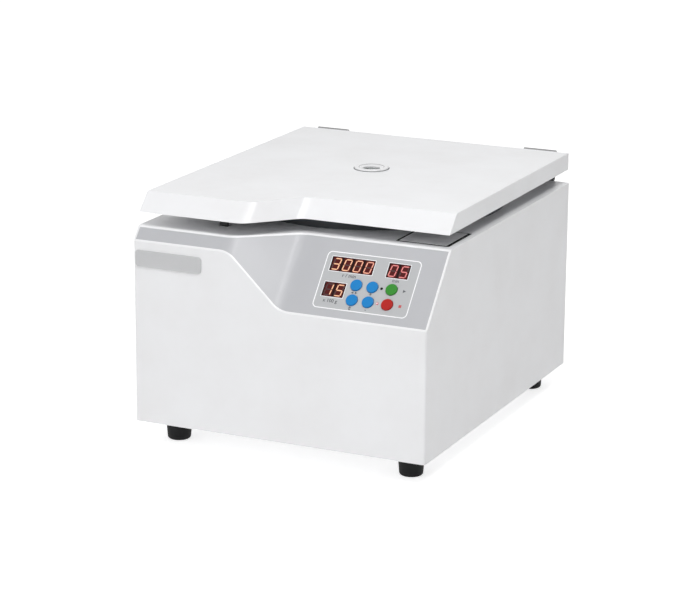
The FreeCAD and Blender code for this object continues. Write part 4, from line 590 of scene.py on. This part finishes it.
LENS_SECTION = [(0, -8.5), (1.5, -8.5), (1.5, 0.1), (1.3, 0.45), (0.8, 0.7), (0, 0.8)]
lens_dark = finish("lens_dark", (0.008, 0.007, 0.007, 1), (0.012, 0.010, 0.010, 1), 0.0004, 0.000002, 0.3, 0.05,
                   Specular_IOR_Level=0.25)
lens_lit = finish("lens_lit", (0.1, 0.01, 0.01, 1), (0.08, 0.01, 0.01, 1), 0.0004, 0.000002, 0.3, 0.05,
                  Emission_Strength=1.0, Specular_IOR_Level=0.25)
tree = lens_lit.node_tree
lamp_spot = PANEL @ MM @ Vector((*LAMP_ON, 0.8))
off = add(tree, "ShaderNodeVectorMath", {0: add(tree, "ShaderNodeTexCoord").outputs["Object"],
                                         1: tuple(lamp_spot)}, operation="DISTANCE").outputs["Value"]
rim = add(tree, "ShaderNodeMapRange", {"Value": off, "From Min": 0.0007, "From Max": 0.0013}).outputs[0]
light = add(tree, "ShaderNodeMix", {0: rim, 6: (0.85, 0.74, 0.78, 1), 7: (0.42, 0.03, 0.05, 1)}, data_type="RGBA")
tree.links.new(light.outputs[2], tree.nodes["Principled BSDF"].inputs["Emission Color"])
for name, spot, skin in (("lamp_off", LAMP_OFF, lens_dark), ("lamp_on", LAMP_ON, lens_lit)):
    shown(name, turned(LENS_SECTION, PANEL @ Matrix.Translation((spot[0] / 1000, spot[1] / 1000, 0))), skin,
          "chassis", "lamp_dark", "indicator_lamps")


# Panel marks
# Plain unit marks and signs printed in dark ink beside the displays and keys.
ink = finish("panel_ink", (0.075, 0.078, 0.088, 1), (0.10, 0.104, 0.115, 1), 0.0003, 0.000002, 0.4, 0.05)
red_ink = finish("panel_red_ink", (0.45, 0.06, 0.06, 1), (0.5, 0.09, 0.09, 1), 0.0003, 0.000002, 0.4, 0.05)
INK_LOW, INK_HIGH = 0.12, 0.17


def written(text, size, place, low=INK_LOW, high=INK_HIGH):
    """A short mark in the middle of its place, as a thin raised print."""
    curve = bpy.data.curves.new("mark", "FONT")
    curve.body = text
    curve.size = size
    curve.align_x = "CENTER"
    curve.align_y = "CENTER"
    curve.extrude = (high - low) / 2
    curve.offset = 0.09
    curve.resolution_u = 3
    return drawn(curve, place @ Matrix.Translation((0, 0, (low + high) / 2000)))


def on_panel(x, y):
    return PANEL @ Matrix.Translation((x / 1000, y / 1000, 0))


for name, text, size, spot in (("mark_speed", "r / min", 6.0, (69.5, 52.3)), ("mark_time", "min", 5.4, (123.5, 53.3)),
                               ("mark_force", "x 100 g", 5.6, (56.5, 21.2)), ("mark_plus", "+", 6.4, (99.9, 33.9)),
                               ("mark_minus", "-", 6.4, (99.4, 16.2))):
    shown(name, written(text, size, on_panel(*spot)), ink, "chassis", "knob_black")
shown("mark_shift", plate([[(77.2, 33.9), (80.2, 32.6), (80.2, 35.2)], [(84.8, 33.9), (81.8, 35.2), (81.8, 32.6)]],
                          INK_LOW, INK_HIGH, PANEL), ink, "chassis", "knob_black")
shown("mark_mode", plate([[(79.3, 16.0), (82.7, 16.0), (81, 18.0)], [(79.3, 15.2), (81, 13.2), (82.7, 15.2)]],
                         INK_LOW, INK_HIGH, PANEL), ink, "chassis", "knob_black")
shown("mark_start", plate([[(135.2, 40.9), (138.6, 42.7), (135.2, 44.5)]], INK_LOW, INK_HIGH, PANEL), ink,
      "chassis", "knob_black")
shown("mark_stop", plate([[(135.2, 23.4), (138.4, 23.4), (138.4, 26.6), (135.2, 26.6)]], INK_LOW, INK_HIGH, PANEL),
      red_ink, "chassis", "knob_black")


# Front plate
# A bare name plate, clear resin over silver-grey foil, glued to the front's upper left.
# The lighter grey on its edges is a painted highlight.
foil = finish("plate_foil", (0.525, 0.53, 0.54, 1), (0.49, 0.495, 0.505, 1), 0.0005, 0.000003, 0.26, 0.05,
              (0.72, 0.72, 0.72, 1), 0.0006, Coat_Weight=0.5)
shown("front_plate", eased("badge_plate", 0.0004, 28, 3), foil, "chassis", "badge_white", "badge_plate")


# Deck label
# A bare plate of satin metal on a black backing that shows at its sides and back, under the lid's edge. The black
# backing is painted shadow, standing in for the dark gaps round the plate, and the plate's edges are painted lighter
# as a highlight.
shadow_backing = finish("label_shadow_backing", (0.004, 0.004, 0.004, 1), (0.008, 0.008, 0.008, 1), 0.0005, 0.000004, 0.6, 0.1,
                 Specular_IOR_Level=0.15)
# The lighter colour on the satin plate's edges is a painted highlight.
satin = finish("label_satin", (0.96, 0.96, 0.97, 1), (0.62, 0.62, 0.63, 1), 0.0026, 0.00003, 0.34, 0.12,
               (0.98, 0.98, 0.98, 1), 0.0016)
DECK = Matrix.Translation((0, 0, 0.248))
# The black backing is painted shadow for the gaps round the plate.
shown("label_shadow_backing", plate([rounded(106.0, -141.4, 167.6, -77.4, 1.0)], 0.0, 0.2, DECK), shadow_backing, "chassis",
      "slate_rubber")
shown("deck_label", plate([rounded(109.0, -139.3, 164.0, -80.3, 1.0)], 0.15, 0.6, DECK, 0.12), satin, "chassis",
      "bare_steel")


# Chamber
# A stainless bowl, its rolled band welded to a pressed floor and brushed round its axis. A slate rubber
# ring stands round its mouth, and the lid presses on it.
CHAMBER = (0.0, 0.0277, 0.0)
round_marks, given, out = new_group("round_marks", [("Centre", "INPUT", "Vector", (0, 0, 0)),
                                                    ("Vector", "OUTPUT", "Vector", None)])
from_centre = add(round_marks, "ShaderNodeVectorMath", {0: add(round_marks, "ShaderNodeTexCoord").outputs["Object"],
                                                        1: given["Centre"]}, operation="SUBTRACT").outputs[0]
parts = add(round_marks, "ShaderNodeSeparateXYZ", {0: from_centre}).outputs
flat = add(round_marks, "ShaderNodeCombineXYZ", {"X": parts[0], "Y": parts[1]}).outputs[0]
reach = add(round_marks, "ShaderNodeVectorMath", {0: flat}, operation="LENGTH").outputs["Value"]
angle = add(round_marks, "ShaderNodeMath", {0: parts[1], 1: parts[0]}, operation="ARCTAN2").outputs[0]
slid = add(round_marks, "ShaderNodeMath", {0: angle, 1: 0.004}, operation="MULTIPLY").outputs[0]
wound = add(round_marks, "ShaderNodeCombineXYZ", {"X": reach, "Y": parts[2], "Z": slid}).outputs[0]
round_marks.links.new(wound, out.inputs["Vector"])

brushed, given, out = new_group("brushed", [
    ("Vector", "INPUT", "Vector", (0, 0, 0)), ("Colour", "INPUT", "Color", (0.6, 0.6, 0.6, 1)),
    ("Shade", "INPUT", "Color", (0.5, 0.5, 0.5, 1)), ("Pitch", "INPUT", "Float", 0.0005),
    ("Depth", "INPUT", "Float", 0.000004), ("Roughness", "INPUT", "Float", 0.3),
    ("Colour", "OUTPUT", "Color", None), ("Roughness", "OUTPUT", "Float", None),
    ("Normal", "OUTPUT", "Vector", None)])
scale = add(brushed, "ShaderNodeMath", {0: 1.0, 1: given["Pitch"]}, operation="DIVIDE").outputs[0]
marks = add(brushed, "ShaderNodeTexNoise", {"Vector": given["Vector"], "Scale": scale, "Detail": 3.0}).outputs[0]
tone = add(brushed, "ShaderNodeMapRange", {"Value": marks, "From Min": 0.35, "From Max": 0.7}).outputs[0]
tint = add(brushed, "ShaderNodeMix", {0: tone, 6: given["Colour"], 7: given["Shade"]}, data_type="RGBA").outputs[2]
gloss = add(brushed, "ShaderNodeMath", {0: tone, 1: 0.12, 2: given["Roughness"]}, operation="MULTIPLY_ADD").outputs[0]
relief = add(brushed, "ShaderNodeBump", {"Strength": 1.0, "Distance": given["Depth"], "Height": marks}).outputs[0]
for label, made in (("Colour", tint), ("Roughness", gloss), ("Normal", relief)):
    brushed.links.new(made, out.inputs[label])


def metal(name, colour, shade, pitch, depth, roughness, stretch=None):
    """Bare metal, brushed round the rotor's axis or along the way that stretch leaves fine."""
    made = bpy.data.materials.new(name)
    made.use_nodes = True
    tree = made.node_tree
    skin = tree.nodes["Principled BSDF"]
    skin.inputs["Metallic"].default_value = 1.0
    if stretch:
        where = add(tree, "ShaderNodeMapping", {"Vector": add(tree, "ShaderNodeTexCoord").outputs["Object"],
                                                "Scale": stretch}).outputs[0]
    else:
        turn = add(tree, "ShaderNodeGroup", node_tree=round_marks)
        turn.inputs["Centre"].default_value = CHAMBER
        where = turn.outputs[0]
    marks = add(tree, "ShaderNodeGroup", node_tree=brushed)
    tree.links.new(where, marks.inputs["Vector"])
    for label, value in (("Colour", colour), ("Shade", shade), ("Pitch", pitch), ("Depth", depth),
                         ("Roughness", roughness)):
        marks.inputs[label].default_value = value
    for label, socket in (("Colour", "Base Color"), ("Roughness", "Roughness"), ("Normal", "Normal")):
        tree.links.new(marks.outputs[label], skin.inputs[socket])
    return made


bowl_steel = metal("bowl_steel", (0.62, 0.62, 0.61, 1), (0.52, 0.52, 0.51, 1), 0.0006, 0.000002, 0.26)
# The lighter slate on its edges is a painted highlight.
slate_rubber = finish("slate_rubber", (0.040, 0.046, 0.052, 1), (0.055, 0.060, 0.066, 1), 0.0008, 0.00002, 0.5, 0.12,
                      (0.09, 0.10, 0.11, 1), 0.0012, Specular_IOR_Level=0.4)
shown("bowl_skin", rounded_copy("chamber_bowl"), bowl_steel, "chassis", "bare_steel", "chamber_bowl")
shown("seal_ring", rounded_copy("chamber_seal"), slate_rubber, "chassis", "slate_rubber", "chamber_seal")


# Lid
# A folded and welded tray of white coated sheet, closed from below by a liner. A turned sight window
# with a thick glass sits in its middle, over the rotor's knob. A thin dark ring round its foot is painted
# shadow for the shadow line round the ring, and a dark line round the ring's top is painted shade of a step there.
shown("lid_skin", eased("lid_shell", FOLD), white_paint, "lid", "white_paint", "lid_shell")
liner_coat = finish("liner_coat", (0.78, 0.785, 0.80, 1), (0.74, 0.745, 0.76, 1), PEEL, PEEL_DEPTH, 0.4, 0.08)
shown("liner_skin", rounded_copy("lid_liner"), liner_coat, "lid", "white_paint", "lid_liner")
# The lighter white on its edges is a painted highlight.
ring_white = finish("ring_white", (0.80, 0.80, 0.81, 1), (0.77, 0.77, 0.78, 1), 0.0005, 0.000004, 0.3, 0.06,
                    (0.88, 0.88, 0.89, 1), 0.0006)
tree = ring_white.node_tree
turn = add(tree, "ShaderNodeGroup", node_tree=round_marks)
turn.inputs["Centre"].default_value = CHAMBER
reach = add(tree, "ShaderNodeSeparateXYZ", {0: turn.outputs[0]}).outputs[0]
# A dark line 14.3 mm from the axis: painted shade of a step in the ring's top.
line = add(tree, "ShaderNodeMath", {0: reach, 1: 0.0143, 2: 0.0003}, operation="COMPARE").outputs[0]
skin = tree.nodes["Principled BSDF"].inputs["Base Color"]
tint = add(tree, "ShaderNodeMix", {0: line, 6: skin.links[0].from_socket, 7: (0.16, 0.165, 0.17, 1)},
           data_type="RGBA").outputs[2]
tree.links.new(tint, skin)
shown("sight_ring", rounded_copy("window_ring", 28), ring_white, "lid", "white_paint", "window_ring")
LID_TOP = Matrix.Translation((CHAMBER[0], CHAMBER[1], 0.2834))
# A thin dark ring round the sight ring's foot: painted shadow.
shown("sight_shadow_ring", plate([circle(0, 0, 20.5, 96), circle(0, 0, 19.5, 96)], -0.1, 0.3, LID_TOP), slate_rubber,
      "lid", "slate_rubber")
glass = finish("sight_glass", (0.90, 0.95, 0.94, 1), (0.86, 0.92, 0.91, 1), 0.002, 0.000001, 0.05, 0.02,
               IOR=1.5, Transmission_Weight=1.0)
shown("sight_glass", rounded_copy("window_glass"), glass, "lid", "clear_glass", "window_glass")


# Lid lock
# A blackened tongue under the lid drops through the slot in the deck, where a bolt holds it by its eye.
# The lighter edge colours of both dark steels are painted highlights.
dark_steel = finish("dark_steel", (0.10, 0.10, 0.105, 1), (0.13, 0.13, 0.135, 1), 0.0009, 0.00001, 0.42, 0.1,
                    (0.25, 0.25, 0.25, 1), 0.0008, Metallic=0.4)
black_oxide = finish("black_oxide", (0.020, 0.021, 0.022, 1), (0.034, 0.035, 0.037, 1), 0.0007, 0.000008, 0.4, 0.1,
                     (0.10, 0.10, 0.10, 1), 0.0005)
tongue_steel = metal("tongue_steel", (0.66, 0.66, 0.64, 1), (0.56, 0.56, 0.54, 1), 0.0006, 0.000004, 0.28,
                     (1, 1, 0.05))
dress(dark_steel, "latch_housing", "latch_solenoid")
shown("lock_tongue", eased("lid_striker", 0.0003, 30, 2), black_oxide, "lid", "plated_steel", "lid_striker")
shown("lock_bolt_skin", rounded_copy("latch_bolt"), tongue_steel, "lock_bolt", "plated_steel", "latch_bolt")


# Hinges
# Two hinges of dull plated steel behind the lid, on dark pins. Their leaves are held by flat screws.
# The lighter grey on its edges is a painted highlight.
hinge_steel = finish("hinge_steel", (0.33, 0.33, 0.335, 1), (0.26, 0.26, 0.265, 1), 0.0008, 0.000006, 0.36, 0.1,
                     (0.5, 0.5, 0.5, 1), 0.0005, Metallic=0.8)
shown("hinge_fixed", rounded_copy("body_hinge_leaves"), hinge_steel, "chassis", "plated_steel", "body_hinge_leaves")
shown("hinge_moving", rounded_copy("lid_hinge_leaves"), hinge_steel, "lid", "plated_steel", "lid_hinge_leaves")
shown("hinge_rods", rounded_copy("hinge_pins"), dark_steel, "chassis", "dark_steel", "hinge_pins")
screw_heads("hinge_screws", [(side * 0.135 + x, 0.2083, z) for side in (-1, 1) for x in (-0.013, 0.013)
                             for z in (0.221, 0.237)], (-90, 0, 0), 0.0028, 0.0009, 0.0008, "chassis")


# Rotor
# A head turned from aluminium alloy with six numbered stations, clamped on the steel spindle by a
# black knob. Each station's sheet-steel clip swings on two pins.
alloy = metal("turned_alloy", (0.70, 0.705, 0.71, 1), (0.60, 0.605, 0.61, 1), 0.0008, 0.000006, 0.3)
sheet_steel = finish("clip_steel", (0.60, 0.60, 0.59, 1), (0.50, 0.50, 0.49, 1), 0.0005, 0.000004, 0.28, 0.1,
                     Metallic=1.0)
# The lighter grey on the knob's edges is a painted highlight.
knob_black = finish("knob_black", (0.018, 0.018, 0.019, 1), (0.028, 0.028, 0.029, 1), 0.0007, 0.000015, 0.42, 0.1,
                    (0.08, 0.08, 0.08, 1), 0.0008)
shown("rotor_head_skin", rounded_copy("rotor_head"), alloy, "rotor", "alloy", "rotor_head")
shown("spindle_skin", rounded_copy("drive_spindle"), tongue_steel, "rotor", "plated_steel", "drive_spindle")
shown("rotor_knob_skin", rounded_copy("rotor_knob"), knob_black, "rotor", "knob_black", "rotor_knob")
STATIONS = 6
HEAD_FLOOR = 0.1462
NUMBER_RADIUS = 0.036


def station(index):
    """The place of a station: its middle on the rotor's axis, +Y outwards."""
    return Matrix.Translation((CHAMBER[0], CHAMBER[1], 0)) @ Matrix.Rotation(math.tau * index / STATIONS, 4, "Z")


for index in range(STATIONS):
    spot = station(index) @ Matrix.Translation((0, NUMBER_RADIUS, HEAD_FLOOR)) @ Matrix.Rotation(math.pi, 4, "Z")
    shown("station_number_%d" % (index + 1), written(str(index + 1), 9, spot, -0.02, 0.06), ink, "rotor",
          "knob_black")


# Clips, slides and funnels
# Each clip holds a glass slide, frosted at its upper end, then a paper filter card and a moulded white
# funnel with a round well, pressed together by the clip's tabs.
funnel_white = finish("funnel_white", (0.80, 0.80, 0.79, 1), (0.74, 0.74, 0.73, 1), 0.0006, 0.000006, 0.34, 0.08,
                      Subsurface_Weight=0.2, Subsurface_Radius=(0.004, 0.004, 0.004), Subsurface_Scale=0.5)
slide_glass = finish("slide_glass", (0.93, 0.96, 0.955, 1), (0.88, 0.93, 0.92, 1), 0.002, 0.000001, 0.04, 0.02,
                     IOR=1.5)
tree = slide_glass.node_tree
level = add(tree, "ShaderNodeSeparateXYZ", {0: add(tree, "ShaderNodeTexCoord").outputs["Object"]}).outputs[2]
frosted = add(tree, "ShaderNodeMath", {0: level, 1: 0.2145}, operation="GREATER_THAN").outputs[0]
clear = add(tree, "ShaderNodeMapRange", {"Value": frosted, "To Min": 1.0, "To Max": 0.25}).outputs[0]
dull = add(tree, "ShaderNodeMapRange", {"Value": frosted, "To Min": 0.04, "To Max": 0.6}).outputs[0]
tree.links.new(clear, tree.nodes["Principled BSDF"].inputs["Transmission Weight"])
tree.links.new(dull, tree.nodes["Principled BSDF"].inputs["Roughness"])
card_paper = finish("card_paper", (0.84, 0.83, 0.80, 1), (0.76, 0.75, 0.72, 1), 0.0004, 0.00003, 0.85, 0.05)
CARD, CARD_FACES = (-12.85, 4.2, 12.85, 63.5), (-4.97, -4.5)
PIVOT = Vector((0, 0.1065, 0.1602))
REST_TILT = math.radians(20)
for index in range(STATIONS):
    number, rider = str(index + 1), "station_%d" % (index + 1)
    shown("clip_skin_" + number, rounded_copy("slide_clip_" + number, 30), sheet_steel, rider, "bare_steel",
          "slide_clip_" + number)
    shown("funnel_skin_" + number, rounded_copy("sample_funnel_" + number, 30), funnel_white, rider,
          "funnel_white", "sample_funnel_" + number)
    dress(slide_glass, "glass_slide_" + number)
    upright = (station(index) @ Matrix.Translation(PIVOT) @ Matrix.Rotation(REST_TILT, 4, "X")
               @ Matrix.Rotation(math.pi / 2, 4, "X"))
    shown("filter_card_" + number, plate([rounded(*CARD, 1.0)], *CARD_FACES, upright), card_paper, rider,
          "funnel_white")


# Motor
# An induction motor in a ribless black can, bolted up to a steel plate. The plate rests on four waisted
# rubber buffers and plated posts, and a rubber sleeve closes the bowl's hole round the shaft.
# The lighter grey on its edges is a painted highlight.
can_black = finish("motor_can", (0.028, 0.029, 0.031, 1), (0.040, 0.041, 0.043, 1), 0.0008, 0.00002, 0.4, 0.1,
                   (0.10, 0.10, 0.10, 1), 0.001)
shown("motor_skin", rounded_copy("motor_housing"), can_black, "chassis", "iron", "motor_housing")
shown("plate_skin", eased("motor_plate", 0.0006, 30, 2), dark_steel, "chassis", "dark_steel", "motor_plate")
shown("buffer_skin", rounded_copy("vibration_mounts", 50), slate_rubber, "chassis", "slate_rubber",
      "vibration_mounts")
shown("boot_skin", rounded_copy("shaft_boot", 50), slate_rubber, "chassis", "slate_rubber", "shaft_boot")
shown("post_skin", rounded_copy("motor_posts"), tongue_steel, "chassis", "plated_steel", "motor_posts")

# Boards
# Green circuit boards: one behind the keys with their switches, one on the tray that feeds the motor
# and carries a transformer, a heat sink and two capacitors. Both stand on plated posts.
# The lighter green on its edges is a painted highlight.
board_green = finish("board_green", (0.012, 0.105, 0.035, 1), (0.020, 0.145, 0.05, 1), 0.0011, 0.00003, 0.35, 0.1,
                     (0.10, 0.25, 0.13, 1), 0.0006)
resin = finish("switch_resin", (0.02, 0.02, 0.021, 1), (0.03, 0.03, 0.031, 1), 0.0006, 0.00001, 0.45, 0.1)


def tinted(piece, material, low, high, place=Matrix()):
    """Give the faces of a piece whose middles lie in a box of a place, in millimetres, another material."""
    piece.data.materials.append(material)
    back = (place @ MM).inverted()
    for face in piece.data.polygons:
        middle = back @ face.center
        if all(low[i] <= middle[i] <= high[i] for i in range(3)):
            face.material_index = len(piece.data.materials) - 1


keyboard = shown("key_board", rounded_copy("control_board"), board_green, "chassis", "board_green", "control_board")
tinted(keyboard, tongue_steel, (30, 0, -8.4), (150, 90, -1.9), PANEL)
tinted(keyboard, resin, (77.6, 20, -8.4), (125.4, 48, -4.3), PANEL)
driver = shown("driver_board", rounded_copy("motor_driver"), board_green, "chassis", "board_green", "motor_driver")
tinted(driver, dark_steel, (-146.1, -173.4, 36.7), (-97.9, -131.2, 74.7))
tinted(driver, resin, (-44.1, -148.4, 36.7), (-3.9, -118.2, 66.7))
tinted(driver, can_black, (-93, -184.4, 36.7), (-46, -162.2, 68.7))
tinted(driver, tongue_steel, (-150, -190, 26.9), (0, -114, 34.9))


# Rear panel
# A white coated sheet with two columns of vent slots, held by six cross-headed screws.
shown("rear_skin", eased("rear_panel", 0.0003, 30, 2), white_paint, "chassis", "white_paint", "rear_panel")
REAR_FACE = 0.2082
screw_heads("rear_heads", [(x, REAR_FACE, z) for x in (-0.139, 0, 0.139) for z in (0.059, 0.187)],
            (-90, 0, 0), 0.0038, 0.0024, 0.0009, "chassis", "rear_screws")


# Mains inlet
# Moulded black, with a recess for the lead's plug, three metal blades, a fuse drawer above and a red
# rocker switch with the usual marks for on and off.
# The lighter grey on its edges is a painted highlight.
inlet_black = finish("inlet_black", (0.016, 0.016, 0.017, 1), (0.024, 0.024, 0.025, 1), 0.0006, 0.00001, 0.4, 0.1,
                     (0.07, 0.07, 0.07, 1), 0.0007)
rocker_red = finish("rocker_red", (0.42, 0.012, 0.010, 1), (0.36, 0.010, 0.008, 1), 0.0005, 0.000003, 0.25, 0.05,
                    Coat_Weight=0.2)
mark_white = finish("mark_white", (0.85, 0.85, 0.84, 1), (0.80, 0.80, 0.79, 1), 0.0003, 0.000002, 0.4, 0.05)
inlet = shown("inlet_skin", rounded_copy("power_inlet"), inlet_black, "chassis", "inlet_black", "power_inlet")
tinted(inlet, tongue_steel, (86.9, 193.9, 102.5), (103.1, 208.8, 110.7))
shown("rocker_skin", rounded_copy("power_rocker", 25), rocker_red, "rocker", "rocker_red", "power_rocker")
ROCKER = Matrix.Translation((0.095, 0.2082, 0.1395)) @ Matrix.Rotation(math.radians(-8), 4, "X")
SIDE_OUT, SIDE_BACK = 3.1, 4.28
for name, side, loops in (("rocker_on", 1, [rounded(-0.5, -1.7, 0.5, 1.7, 0.1)]),
                          ("rocker_off", -1, [circle(0, 0, 1.8), circle(0, 0, 1.0)])):
    up = Vector((0, side * 1.1875, 6.2)).normalized()
    out = Vector((0, 6.2, -side * 1.1875)).normalized()
    turn = Matrix((Vector((-1, 0, 0)), up, out)).transposed().to_4x4()
    spot = ROCKER @ Matrix.Translation((0, SIDE_BACK / 1000, side * SIDE_OUT / 1000)) @ turn
    shown(name, plate(loops, -0.1, 0.06, spot), mark_white, "rocker", "badge_white")
